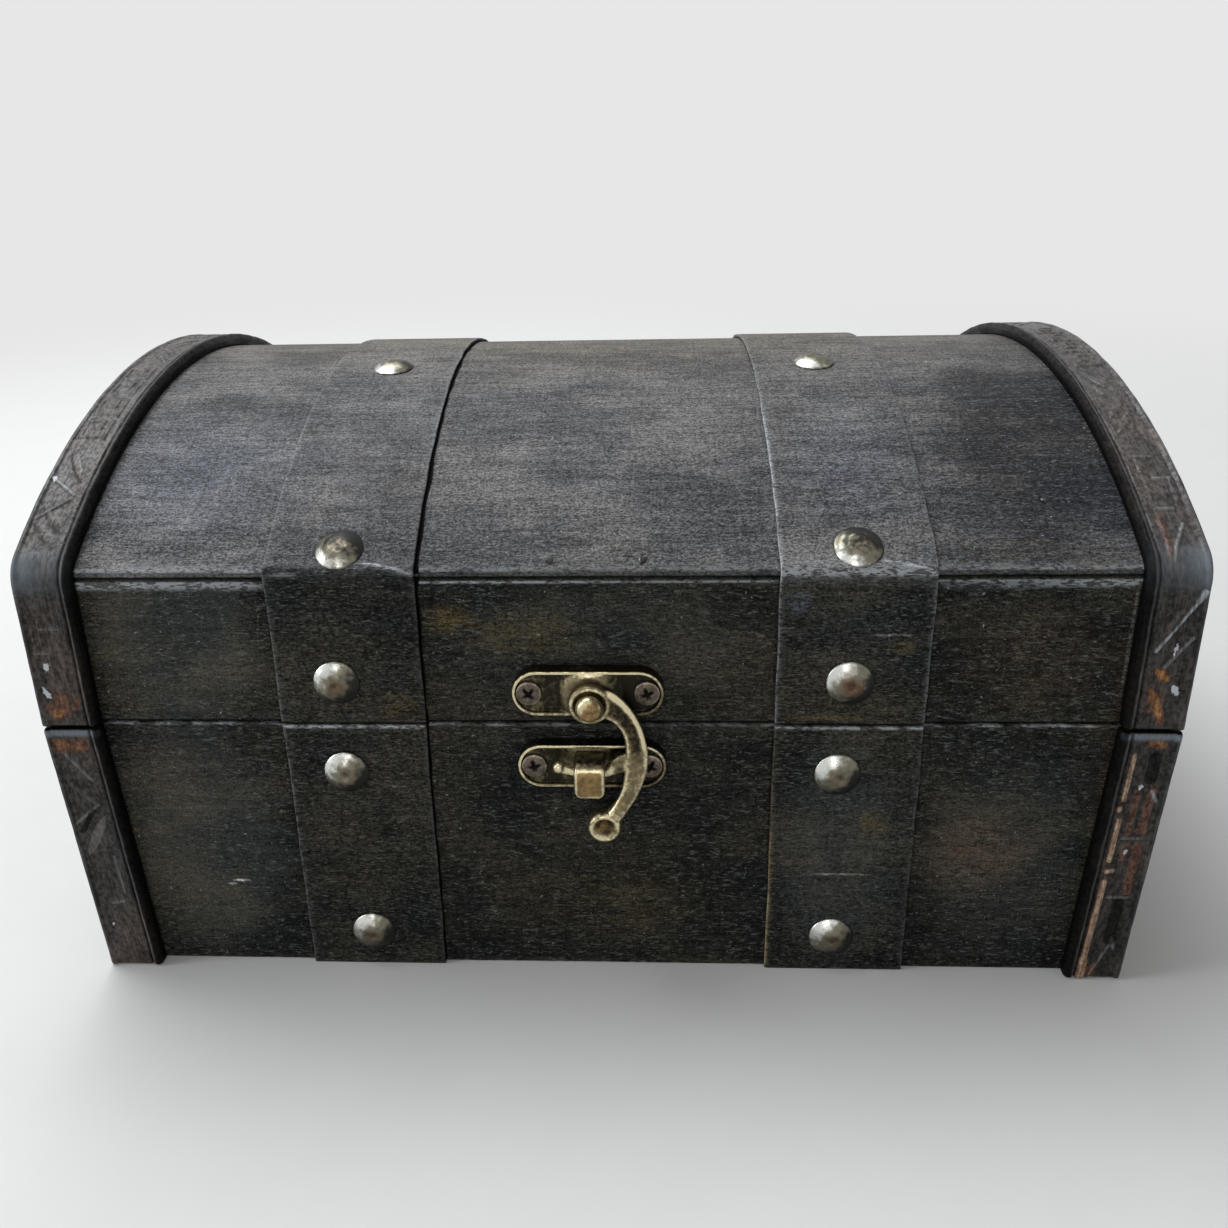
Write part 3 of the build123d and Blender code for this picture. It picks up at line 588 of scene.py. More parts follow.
# End wall of the body, between the front and back walls
def bodyEnd(end):
    thick, depth = chest["endBoard"], 2 * (halfDepth - chest["frontBoard"])
    wall = slab((thick, depth, bodyTop), board["radius"], (3, board["step"], board["step"]))
    x, y, z = wall["points"].T
    z = z + bodyTop / 2
    return {**wall, "points": columns(end * (halfLength - leanIn(z) - thick / 2) + x, y, z)}


# Board under the arch: its top follows the underside of the sheet
def underArch(sizes, place, steps, closer=None):
    wall = slab(sizes, board["radius"], steps, closer)
    x, y, z = wall["points"].T
    y = y + place[1]
    top = archHeight(y, archRadius - chest["sheet"])
    z = lidBottom + (z / sizes[2] + 0.5) * (top - lidBottom)
    return {**wall, "points": columns(x + place[0], y, z)}


# Rail of the lid: its outer face draws back below the sheet, which leaves a groove. The groove, the foot at
# the seam and the line beside the left strap are painted dark as shade
def lidRail(turn):
    thick, tall = chest["frontBoard"], 30
    closer = {0: strapShadowLine["lines"], 2: tall / 2 - np.arange(0.45, 1.8, 0.11)}
    rail = underArch((2 * halfLength, thick, tall), (0, turn * (halfDepth - thick / 2)),
                     (board["step"], 2, 0.35), closer)
    points, marks = rail["points"], rail["marks"]
    x, y, z = points.T
    outer = np.clip(turn * y - halfDepth + 1, 0, 1)
    under = archHeight(halfDepth, archRadius - chest["sheet"]) - z
    broad = ramp(under, 0.5, 0.8) * ramp(under, 2.7, 1.5) * stopped(x, broadWear)
    marks["pale"] = np.maximum(bell(under, 0.86, 0.22) * stopped(x, railWear), broad) * outer
    foot = 0.95 * ramp(z - lidBottom, 0.5, 0.3)
    edges = np.maximum(foot, strapShadowMark(points)) * ramp(outer, 0.4, 0.7)
    marks["paintedShade"] = np.maximum(bell(under, 0, 0.42) * outer, edges)
    drawn = board["groove"] * bell(under, 0, board["grooveReach"]) * outer
    return {**rail, "points": columns(x, y - turn * drawn, z)}


for face, turn in faces.items():
    makePiece(face + "_wall", bodyWall(turn), "chest_wood", "chest_body", "body_" + face + "_panel")
    makePiece(face + "_rail", lidRail(turn), "chest_wood", "lid", "lid_" + face + "_rail")
for side, end in ends.items():
    makePiece(side + "_wall", bodyEnd(end), "chest_wood", "chest_body", "body_" + side + "_end_panel",
              endWood)
    arched = underArch((chest["endBoard"], 2 * (halfDepth - chest["frontBoard"]), 40),
                       (end * (halfLength - chest["endBoard"] / 2), 0), (3, 1, 1.5))
    makePiece(side + "_arched_end", arched, "chest_wood", "lid", "lid_" + side + "_end_panel", endWood)

# Sheet bent over the arch: height is the arch for the sheet's own radius. Its long edges are worn on top;
# below the worn lip they are painted dark as shade, and so is the line beside the left strap
sheet = slab((2 * halfLength, 2 * halfDepth, chest["sheet"]), 0.35, (1.2, 1.2, 0.3),
             {0: strapShadowLine["lines"]})
x, y, z = sheet["points"].T
under = z - chest["sheet"] / 2
share = under / chest["sheet"] + 1
fromEdge = np.clip(halfDepth - np.abs(y), 0, None)
ragged = 0.06 * wander(sheet["points"], 5, 31) - 0.25 * (1 - share)
drawn = np.sign(y) * ragged * np.exp(-fromEdge / 0.6)
sheet["points"] = columns(x, y + drawn, archHeight(y, archRadius + under))
sheet["marks"]["pale"] = np.exp(-fromEdge / 0.32) * stopped(x, sheetWear) * ramp(share, 0.68, 0.93)
sheet["marks"]["paintedShade"] = np.maximum(np.exp(-fromEdge / 0.3) * ramp(share, 0.30, 0.05),
                                    strapShadowMark(sheet["points"]) * ramp(share, 0.4, 0.6))
makePiece("arch_sheet", sheet, "chest_wood", "lid", "lid_top_sheet")
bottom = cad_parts["bottom_panel"].data.materials
bottom.clear()
bottom.append(finishes["chest_wood"])
print("boards made")

# Straps, and where their edges are worn: the mark, the edge's side and stops of distance and strength
strap = dict(
    centre=47.196, width=28.0, thickness=1.0, radius=0.3, corner=1.0, step=(0.8, 0.42, 0.4),
    wave=0.10, swell=0.30, shoulder=31.2, line=0.3, creaseLines=np.arange(-0.7, 3.6, 0.13),
    crease=((-14, 0.7), (-9, 0.5), (-6, 0.1), (-1, 0.3), (2, 1.0), (14, 1.0)),
    lidWear=dict(
        left=(("pale", -1, ((0, 0.35), (31, 0.35), (60, 0.5), (110, 0.2))),
              ("pale", 1, ((0, 0.0), (50, 0.1), (66, 0.75), (110, 0.5)))),
        right=(("pale", -1, ((0, 0.45), (29, 0.5), (31, 1.0), (76, 1.0), (80, 0.4), (110, 0.3))),
               ("pale", 1, ((0, 0.5), (31, 0.5), (40, 0.25), (110, 0.2)))),
    ),
    bodyWear=dict(
        left=(("pale", -1, ((0, 0.25), (58, 0.4))), ("pale", 1, ((0, 0.05), (58, 0.15)))),
        right=(("tan", -1, ((0, 1.0), (24, 1.0), (40, 0.3), (58, 0.1))),
               ("pale", 1, ((0, 0.15), (58, 0.25)))),
    ),
    endWear=dict(left=1.0, right=0.75),
)


# Strap laid along a path: x across, distance along, thickness outwards. Its edges wander a little, and
# it swells where it turns over the shoulder. Its sides are painted dark as shade on the side away from
# the light, and the lid strap's foot by the seam is painted dark as shade
def strapShape(path, length, end, seed, wear, shoulders=(), endWear=0.0, shoulderWear=0.0):
    thick = strap["thickness"]
    shape = slab((strap["width"], length, thick), strap["radius"], strap["step"],
                 {1: turn - length / 2 + strap["creaseLines"] for turn in shoulders[:1]})
    p, marks = shape["points"], shape["marks"]
    across, along, above = (p + (0, length / 2, thick / 2)).T
    place = columns(0 * along, along, 0 * along)
    fromSide = strap["width"] / 2 - np.abs(across)
    swell = sum((strap["swell"] * bell(along, shoulder, 1.6) for shoulder in shoulders), 0 * along)
    wave = strap["wave"] * wander(place, 14, seed) * np.sign(across) * marks["edge"]
    shape["points"] = columns(end * strap["centre"] + across + wave, *path(along, above * (1 + swell)))
    marks["pale"], marks["tan"] = 0 * along, 0 * along
    for name, edge, stops in wear:
        onEdge = (np.sign(across) == edge) * np.exp(-fromSide / strap["line"])
        marks[name] = np.maximum(marks[name], onEdge * stopped(along, stops))
    onEnd = endWear * ramp(np.abs(length - along), 0.56, 0.36) * ramp(0.75 + 0.5 * wander(p, 3.5, seed))
    rubbed = 0 * along
    if shoulders:
        past = along - shoulders[0]
        crease = past - 0.2 + 0.13 * (across - 14) * (across > -5)
        ridge = bell(crease, 0, 0.20) * stopped(across, strap["crease"])
        rubbed = np.maximum(shoulderWear * (0.3 * bell(past, 0, 1.6) + bell(past, 0.2, 0.5)),
                            ridge * ramp(0.75 + 0.4 * wander(place + p, 9, seed)))
    marks["pale"] = np.max([marks["pale"], onEnd, rubbed], axis=0)
    inShade = np.where(across > 0, ramp(above, 0.95, 0.65), ramp(above, 0.5, 0.2))
    atFoot = 0.95 * ramp(along, 0.45, 0.25) * bool(shoulders)
    marks["paintedShade"] = np.maximum(ramp(fromSide, 0.25, 0.05) * inShade, atFoot)
    marks["edge"] = marks["edge"] * 0.6
    return shape


overLid, lidLength = lidPath(strap["corner"])
for side, end in ends.items():
    turns = (strap["shoulder"], lidLength - strap["shoulder"])
    shape = strapShape(overLid, lidLength, end, 40 + end, strap["lidWear"][side], turns, 0, 0.35 + 0.3 * end)
    makePiece("lid_strap_" + side + "_bent", shape, "strap_wood", "lid", "lid_strap_" + side)
    for face, turn in faces.items():
        wear, endWear = strap["bodyWear"][side], strap["endWear"][side]
        if face == "back":
            wear, endWear = wear[1:], 0.0
        shape = strapShape(*bodyPath(turn), end, 44 + end, wear, (), endWear)
        name = "strap_" + face + "_" + side
        makePiece(name, shape, "strap_wood", "chest_body", "body_" + name)
print("straps made")

band = dict(width=11.0, thickness=3.0, radius=0.5, corner=4.0, step=(0.22, 0.32, 1), bead=1.9, groove=0.35,
            beadDrop=0.8, ground=2.62, relief=0.38, outerRound=0.6, endRound=0.9, soft=0.30, blurred=0.9)
# What each kind of stroke does: how far it stands out and how it is worn; sunken strokes are painted dark
# as shade
strokeKinds = dict(
    plain=dict(relief=0.8), faint=dict(relief=0.5), line=dict(relief=0.8, pale=0.34),
    bright=dict(relief=1.0, pale=0.95), leaf=dict(relief=0.8), tan=dict(relief=1.0, tan=1.0),
    bar=dict(relief=1.0, russet=0.9), orangeLeaf=dict(relief=0.7, rub=1.05), chip=dict(relief=0.2, chip=1.0),
    hollow=dict(paintedShade=0.7), flatLine=dict(pale=0.34), flatChip=dict(chip=1.0),
    paleLeaf=dict(pale=0.20, dusty=1.0),
)
leaves, blurred = ("leaf", "paleLeaf", "orangeLeaf"), ("orangeLeaf", "bar", "chip", "flatChip")
keyTurns = ((0.0, 3.9), (0.0, 9.0), (5.6, 9.0), (5.6, 5.6), (2.8, 5.6), (2.8, 7.3))
keyPeriod, keyWidth, leafWidth = 8.2, 0.65, 1.6
leafLines = ((1.0, 3.8, 10.0, 9.4), (6.0, 3.8, 12.5, 7.8), (23.0, 3.8, 14.0, 9.4), (18.0, 3.8, 11.8, 7.6))


# Strokes of a meander that starts at a distance along and has so many turns
def keyStrokes(start, count):
    lines = []
    for at in start + keyPeriod * np.arange(count):
        turns = [(at + a, c) for a, c in keyTurns]
        lines += [(*a, *b, keyWidth) for a, b in zip(turns[:-1], turns[1:])]
        lines.append((at - 0.9, 3.9, at + 5.6, 3.9, keyWidth))
    return [("plain", *lines)]


# Pair of chevrons drawn as long leaves
def leafStrokes(start):
    return [("leaf", *((start + a, b, start + c, d, leafWidth) for a, b, c, d in leafLines))]


# Share of each point inside a stroke, from 0 to 1: the distance to its line less its half width, which
# swells as the root of a sine along a leaf
def strokeShare(along, across, kind, a0, c0, a1, c1, width):
    da, dc = a1 - a0, c1 - c0
    share = np.clip(((along - a0) * da + (across - c0) * dc) / (da ** 2 + dc ** 2 + 1e-9), 0, 1)
    gap = np.hypot(along - a0 - share * da, across - c0 - share * dc)
    half = width / 2 * (np.sqrt(np.sin(np.pi * share)) if kind in leaves else 1)
    return ramp((half - gap) / (band["blurred"] if kind in blurred else band["soft"]) + 0.5)


# How far a top falls away over a rounded edge, by the distance past its start
def roundedOff(past, radius):
    return np.sqrt(radius ** 2 - 0.98 * np.clip(past, 0, radius) ** 2) - radius


# Band laid along a path: a bead along its inner edge, then the field with its ornament
def bandShape(path, length, end, strokes, rubs, dust, leaning, paintedEndSheen=0.0):
    width, thick, beadWidth = band["width"], band["thickness"], band["bead"]
    shape = slab((width, length, thick), band["radius"], band["step"])
    p = shape["points"]
    across, along, above = (p * (end, 1, 1) + (width / 2, length / 2, thick / 2)).T
    marks = {name: 0 * along for name in ("relief", "pale", "tan", "russet", "rub", "chip", "paintedShade", "dusty")}
    for kind, *lines in strokes:
        share = np.max([strokeShare(along, across, kind, *line) for line in lines], axis=0)
        for name, strength in strokeKinds[kind].items():
            marks[name] = np.maximum(marks[name], strength * share)
    for at, over, alongReach, acrossReach, strength in rubs:
        spot = bell(along, at, alongReach, 4) * bell(across, over, acrossReach, 4)
        marks["rub"] = np.maximum(marks["rub"], strength * spot)
    for at, reach, strength in dust:
        marks["dusty"] = np.maximum(marks["dusty"], strength * bell(along, at, reach))
    marks["relief"] *= ramp(across - beadWidth - band["groove"], 0, 0.2)
    bead = thick - band["beadDrop"] * (2 * across / beadWidth - 1) ** 2
    low, rise = thick - band["beadDrop"], np.clip((across - beadWidth) / band["groove"], 0, 1)
    field = low + rise * (band["ground"] - low) + band["relief"] * marks["relief"]
    border = np.clip((across - width + 1.3) / 0.3, 0, 1) * (thick - band["ground"])
    top = np.where(across < beadWidth, bead, field + border)
    top += roundedOff(across - width + band["outerRound"], band["outerRound"])
    top += roundedOff(band["endRound"] - np.minimum(along, length - along), band["endRound"])
    y, z = path(along, above * top / thick + 0.03 * wander(p, 9, 71 + end) * (above > 1))
    x = end * (halfLength - width + across - leanIn(z) * leaning)
    # The top-end facet of the body bands gets a painted highlight, and the top of the bead a pale painted
    # highlight line
    onTop, fromTop = ramp(above, 2.2, 2.7), length - along
    atEnd = paintedEndSheen * bell(fromTop, 0.90, 0.55) * ramp(above, 2.5, 2.9)
    marks["pale"] = np.max([marks["pale"] * onTop, 0.22 * bell(across, 1.5, 0.22) * onTop,
                            0.10 * bell(across, width - 0.5, 0.4), 0.5 * atEnd], axis=0)
    # Painted sheen: on the top-end facet of the body bands, and where the lid bands turn over the shoulder.
    # The band ends at the seam are painted dark as shade
    if leaning:
        marks["paintedSheen"], ending = atEnd, ramp(fromTop, 0.40, 0.20) * onTop
    else:
        marks["paintedSheen"] = 0.8 * (0.4 + 0.6 * ramp(across, 5, 9)) * bell(along, 31.5, 2.6) * onTop
        ending = 0.95 * ramp(along, 0.55, 0.35)
    # Painted shade in the groove beside the bead, on the inner wall and over the bead's inner half
    grooved = 0.8 * bell(across, beadWidth + 0.1, 0.22) * onTop
    wall = (across < 0.3) * ramp(above, 2.8, 2.4)
    marks["paintedShade"] = np.max([marks["paintedShade"], ending, grooved, wall, 0.85 * ramp(across, 1.35, 0.85)], axis=0)
    marks["flat"] = columns(across, along, above) * mm
    return {**shape, "points": columns(x, y, z), "marks": marks}


# Ornament of each stretch: a kind of stroke, then its lines as (from along, from across, to along,
# to across, width)
lidStrokes = dict(
    left=[("plain", (9.2, 3.9, 9.2, 6.8, 0.6), (16.2, 8.9, 25.8, 8.9, 0.6), (17.5, 7.4, 24.5, 7.4, 0.5),
           (25.8, 8.9, 25.8, 6.4, 0.6)),
          ("line", (16.2, 6.2, 16.2, 9.2, 0.5), (21.3, 4.0, 21.3, 7.2, 0.5), (42.0, 9.4, 46.8, 4.2, 0.45),
           (54.0, 4.4, 59.5, 7.2, 0.4)),
          ("faint", (9.2, 6.4, 15.0, 6.4, 0.6), (9.2, 3.9, 30.0, 3.9, 0.6)),
          ("chip", (7.0, 8.3, 8.4, 8.9, 1.1), (12.8, 7.7, 13.6, 7.5, 1.0), (52.0, 9.2, 52.8, 9.4, 0.9)),
          ("leaf", (35.0, 4.0, 41.0, 9.2, 1.4), (38.5, 3.8, 45.0, 8.6, 1.2), (51.5, 3.9, 60.0, 8.4, 1.4)),
          ("bright", (47.8, 3.9, 52.2, 9.2, 0.35)), *keyStrokes(65, 4), *keyStrokes(127, 4),
          *leafStrokes(99), *leafStrokes(160), *keyStrokes(196, 3)],
    right=[("orangeLeaf", (1.4, 6.6, 9.4, 3.2, 2.0), (10.4, 6.4, 13.0, 3.8, 2.1)),
           ("chip", (8.2, 8.2, 9.0, 7.7, 1.2), (16.0, 6.6, 18.0, 6.9, 0.5)),
           ("line", (13.4, 5.2, 19.2, 9.4, 0.6), (32.4, 4.5, 39.0, 7.8, 0.5), (42.5, 4.0, 42.5, 7.2, 0.5),
            (50.0, 8.8, 50.0, 5.8, 0.5), (55.8, 7.0, 55.8, 4.2, 0.4)),
           ("bright", (16.6, 3.2, 27.4, 9.8, 0.5), (26.6, 9.2, 28.4, 10.0, 0.9)),
           ("leaf", (19.0, 3.6, 25.0, 7.2, 1.3)), ("bar", (33.0, 4.1, 41.0, 4.1, 0.8)),
           ("faint", (44.5, 8.6, 50.0, 8.6, 0.6), (45.0, 4.2, 55.0, 4.2, 0.6), (46.0, 8.6, 46.0, 6.6, 0.6)),
           *leafStrokes(62), *keyStrokes(90, 4), *leafStrokes(127), *keyStrokes(155, 4), *leafStrokes(192)],
)
bodyStrokes = dict(
    left=[("flatLine", (19.0, 3.9, 28.0, 3.9, 0.45), (16.2, 6.9, 16.7, 4.5, 0.6)),
          ("flatChip", (10.2, 8.3, 10.9, 8.1, 0.5)), ("paleLeaf", (28.2, 9.0, 37.6, 3.5, 1.9)),
          ("hollow", (34.0, 9.0, 39.0, 5.5, 1.2)), ("leaf", (40.4, 4.0, 46.4, 9.0, 1.2)),
          ("line", (36.0, 9.6, 40.6, 3.9, 0.5), (46.2, 3.9, 52.0, 7.7, 0.55))],
    right=[("hollow", (10.0, 7.0, 19.0, 7.0, 2.4), (47.8, 7.0, 52.6, 7.0, 2.4)),
           ("tan", (0.6, 2.9, 5.0, 2.9, 1.7), (4.0, 2.9, 24.2, 3.1, 1.15), (29.2, 3.1, 38.6, 3.1, 1.0),
            (43.2, 3.0, 53.0, 3.0, 0.9), (26.6, 3.2, 27.0, 4.2, 1.0), (40.8, 2.7, 41.4, 2.7, 0.9)),
           ("bar", (21.9, 7.9, 32.6, 7.9, 1.7), (36.0, 7.9, 45.5, 7.9, 1.7), (32.3, 7.9, 32.3, 5.6, 1.2),
            (36.2, 7.6, 36.2, 5.2, 1.0), (35.8, 5.3, 44.8, 5.3, 1.1), (29.4, 5.4, 32.3, 5.4, 0.9)),
           ("line", (20.5, 4.3, 20.5, 8.6, 0.45), (34.4, 4.4, 34.4, 8.2, 0.5), (0.5, 4.4, 9.6, 7.5, 0.4),
            (8.0, 8.1, 10.4, 7.4, 0.6)),
           ("bright", (43.0, 9.0, 45.4, 7.6, 0.6)),
           ("chip", (31.2, 5.7, 31.6, 5.7, 0.9), (45.8, 5.6, 46.2, 5.6, 0.9))],
)
# Rubbed spots: place along and across, reach along and across, strength
lidRubs = dict(left=((4.6, 5.8, 3.6, 3.8, 0.58), (3.2, 7.2, 1.2, 1.5, 1.25), (20, 6, 9, 4, 0.10)),
               right=((5.5, 4.5, 5.5, 1.8, 0.42), (36, 4.2, 5, 1.2, 0.3)))
bodyRubs = dict(left=((54.2, 6.4, 1.7, 4.0, 0.80), (30, 4, 14, 3, 0.10), (6, 8, 8, 3, 0.15)),
                right=((55.4, 6.6, 1.1, 1.9, 1.0), (2.0, 4.2, 2.4, 1.6, 0.8), (27, 3.2, 2.4, 1.2, 0.4)))
# Dusty brown stretches: place along, reach and strength
lidDust = dict(left=((14, 12, 0.75), (60, 20, 0.4)), right=((8, 8, 0.3), (60, 22, 0.5)))
bodyDust = dict(left=((4, 10, 1.0), (52, 6, 0.6)), right=((30, 10, 0.25),))
overBand, bandLength = lidPath(band["corner"])
for side, end in ends.items():
    shape = bandShape(overBand, bandLength, end, lidStrokes[side], lidRubs[side], lidDust[side], 0)
    makePiece("lid_moulding_" + side, shape, "moulded_band", "lid", "lid_band_" + side)
    for face, turn in faces.items():
        strokes, rubs, paintedEndSheen = bodyStrokes[side], bodyRubs[side], 1.0
        if face == "back":
            strokes, rubs, paintedEndSheen = keyStrokes(3, 3) + leafStrokes(30), (), 0.0
        shape = bandShape(*bodyPath(turn), end, strokes, rubs, bodyDust[side], 1, paintedEndSheen)
        name = face + "_" + side
        makePiece("moulding_" + name, shape, "moulded_band", "chest_body", "body_band_" + name)
print("bands made")

# Studs: where each one sits across the chest, and how high or how far back
stud = dict(foot=(-47.70, 46.38), seam=(-49.60, 45.60), rail=(-49.60, 46.80), arch=(-47.39, 47.39),
            crown=(-47.39, 46.80), footZ=8.5, seamZ=47.4, railZ=67.3, archSetback=3.4, crownSetback=12.5)
studProfile = ((0, 1.60), (0.35, 1.60), (0.6, 1.67), (0.85, 1.77), (1.2, 1.81), (1.6, 1.74), (2.1, 1.58),
               (2.8, 1.26), (3.5, 0.88), (4.0, 0.52), (4.35, 0.28), (4.55, 0.16), (4.56, 0.02),
               (4.4, -0.05), (0, -0.05))


# One domed stud: its dome is dented a little, it is painted bright towards one side as a highlight and
# dark on the other as shade, darker at its foot as shade, and brown tarnish sits round the dimple. A flat
# stud has a pale disc with a dark ring beside it
def studShape(seed, tarnish, litWay=(-0.78, 0.72), flat=0.0):
    shape = lathe(eased(studProfile, 0.16), 56)
    p = shape["points"]
    x, y, z = p.T
    radius, spot, onTop = np.hypot(x, y), p + 40.0 * seed, z > 0.3
    z += 0.02 * wander(spot, 4.5, 5) * onTop * np.clip(radius / 1.2, 0, 1)
    z -= 0.85 * flat * (z - 1.70) * ramp(radius, 2.1, 1.6) * onTop
    lit = p[:, :2] @ litWay / 4.56
    lit = np.sign(lit) * np.abs(lit) ** 1.2 * ramp(radius, 1.0, 2.8)
    ring = bell(np.hypot(x - 0.3, y + 0.4), 0.9, 0.8)
    drift = np.clip(wander(spot, 3.0, 9) * 0.5 + 0.2, 0, 1) * bell(radius, 0, 2.4)
    disc = ramp(radius, 2.0, 1.65) * (0.07 * wander(spot, 1.1, 8) - 0.14)
    beside = bell(radius, 2.5, 0.5) * np.clip(0.5 - 0.35 * x, 0, 1)
    shine = 0.40 - 0.07 * flat + 0.06 * wander(spot, 2.2, 6) + 0.72 * lit + flat * (disc - 0.36 * beside)
    shine -= 0.35 * ((1 - flat) * tarnish * bell(radius, 0, 0.6) + np.clip((radius - 4.1) / 0.4, 0, 1))
    shape["marks"] = {"shine": shine, "stain": np.clip((0.9 * ring + 0.7 * drift) * tarnish, 0, 1) * onTop}
    return shape


def onArch(shape, x, y, above=0.0):
    slope = y / archRadius
    out = np.array([0, slope, np.sqrt(1 - slope ** 2)])
    return stood(shape, np.array([x, 0, archCentre]) + (archRadius + above) * out, out)


lidStuds = []
for face, turn in faces.items():
    outside, bodyStuds = turn * (halfDepth + strap["thickness"]), []
    for k, tarnish in enumerate((1.1, 1.5)):
        seed = 10 * k + 5 * (turn + 2)
        for row, kept, strength in (("foot", bodyStuds, 0.5), ("seam", bodyStuds, 0.4),
                                    ("rail", lidStuds, tarnish)):
            place = (stud[row][k], outside, stud[row + "Z"])
            kept.append(stood(studShape(seed, strength), place, (0, turn, 0)))
            seed += 1
        shape = studShape(seed, 0.15, (-0.6, 0.8 * turn), 1.0)
        setBack = turn * (halfDepth - stud["archSetback"])
        lidStuds.append(onArch(shape, stud["arch"][k], setBack, strap["thickness"]))
    makePiece("studs_" + face, joined(bodyStuds), "stud_metal", "chest_body", "body_studs_" + face)
for k, x in enumerate(stud["crown"]):
    shape = studShape(31 + k, 0.2, (-0.6, -0.8), 0.5)
    lidStuds.append(onArch(shape, x, -stud["crownSetback"], strap["thickness"]))
makePiece("studs_lid", joined(lidStuds), "stud_metal", "lid", "lid_studs")

nail = dict(span=16.8, setback=1.7)
nailProfile = ((0, 0.26), (0.35, 0.28), (0.62, 0.20), (0.78, 0.08), (0.78, -0.05), (0, -0.05))
heads = []
for turn in faces.values():
    for end in ends.values():
        shape = lathe(eased(nailProfile, 0.09), 24)
        p = shape["points"]
        angle = np.arctan2(p[:, 1], p[:, 0])
        p[:, :2] *= (1 + 0.14 * np.sin(3 * angle + end) + 0.08 * np.sin(5 * angle + 2 * turn))[:, None]
        shape["marks"] = {"shine": 0.25 + 0.5 * ramp(-end * p[:, 0], 0.1, 0.6), "stain": 0 * angle}
        heads.append(onArch(shape, end * nail["span"] / 2, turn * (halfDepth - nail["setback"])))
makePiece("sheet_nail_heads", joined(heads), "nail_iron", "lid", "sheet_nails")
print("studs made")

# Latch plates: trays with round ends, a thin bright rim and a field where the screws sit
latch = dict(length=28.5, height=9.4, thickness=2.8, field=2.0, rim=0.55, bevel=0.22, upper=(-1.9, 65.85),
             lower=(-1.4, 50.0), screwInset=3.15, bossZ=65.25, bossRadius=6.4, bossTop=3.45, bossSlope=2.2)
pivotX, pivotZ, fieldHeight = -1.5, 64.75, latch["field"]
fieldY = faceY - fieldHeight


# Rings at a distance inside the outline, each ring the middle line plus the rest of the radius, and a
# height for each ring: up the side, over the rim, down to the field. One more ring closes the back
def plateShape(centre, z, swell):
    radius, top, rim, bevel = latch["height"] / 2, latch["thickness"], latch["rim"], latch["bevel"]
    run = latch["length"] / 2 - radius
    straight = np.linspace(-run, run, 81)
    sweep = np.linspace(-np.pi / 2, np.pi / 2, 33)[1:-1]
    core = centre + np.concatenate((straight[::-1], 0 * sweep - run, straight, 0 * sweep + run))
    level = np.pi / 2 + 0 * straight
    angle = np.concatenate((level, np.pi - sweep[::-1], -level, sweep))
    inset = np.concatenate((np.zeros(6), np.linspace(0.06, 1.2, 16), np.linspace(1.35, radius, 24)))[:, None]
    onBevel = top - bevel + np.sqrt(np.clip(bevel ** 2 - (bevel - inset) ** 2, 0, None))
    tall = np.where(inset < bevel, onBevel, top - (top - fieldHeight) * ramp(inset, rim, rim + 0.3))
    tall[:6, 0] = np.linspace(0, top - bevel, 6)
    x, up = core + (radius - inset) * np.cos(angle), (radius - inset) * np.sin(angle)
    tall = np.where(inset > 0.15, np.maximum(tall, swell(x, up + z)), tall)
    # Shine, with painted light and shade: the rim brighter towards the top left and the boss towards its
    # top, as lit; the side wall, the right of the field, the field beside the keeper's mound and the boss's
    # right flank darker, as shade
    rimMark = bell(inset, 0.3, 0.28) * (inset > 0)
    raised = ramp(tall, fieldHeight, fieldHeight + 1.2) * (inset > 0.15)
    litSide = np.clip(up / 4.7 - 0.35 * (x - centre) / 14, -1, 1)
    shine = 0.26 + (0.50 + 0.28 * litSide) * rimMark + (0.18 + 0.40 * ramp(up, 3.4, 4.3)) * raised
    shine -= 0.14 * (inset < 0.01) + 0.16 * ramp(x - centre, 0, 8) * (1 - rimMark)
    shine -= 0.22 * bell(np.abs(x - pivotX), 7.2, 2.0) * (1 - rimMark) * (1 - raised)
    shine -= 0.30 * raised * ramp(x - pivotX, 1.5, 5.5)
    back = columns(core, 0 * core + faceY, 0 * core + z)
    grid = np.concatenate((back[None], columns(x, faceY - tall, up + z)))
    shine = np.concatenate((0 * core + 0.2, shine.ravel()))
    return ringShape(grid, {"shine": shine, "stain": 0 * shine})


# The upper plate swells into a flat-topped boss that reaches its top edge
def bossSwell(x, z):
    away = latch["bossRadius"] - np.hypot(x - pivotX, z - latch["bossZ"])
    return fieldHeight + (latch["bossTop"] - fieldHeight) * ramp(away, 0, latch["bossSlope"])


# The keeper's plate swells softly where the post stands out of it
def keeperSwell(x, z):
    return fieldHeight + 0.8 * bell(x, -1.7, 4.1, 4) * bell(z, 52.4, 2.3, 4)


makePiece("upper_plate", plateShape(*latch["upper"], bossSwell), "latch_bronze", "lid", "latch_upper_plate")
makePiece("keeper_plate", plateShape(*latch["lower"], keeperSwell), "latch_bronze", "chest_body",
          "latch_keeper_plate")

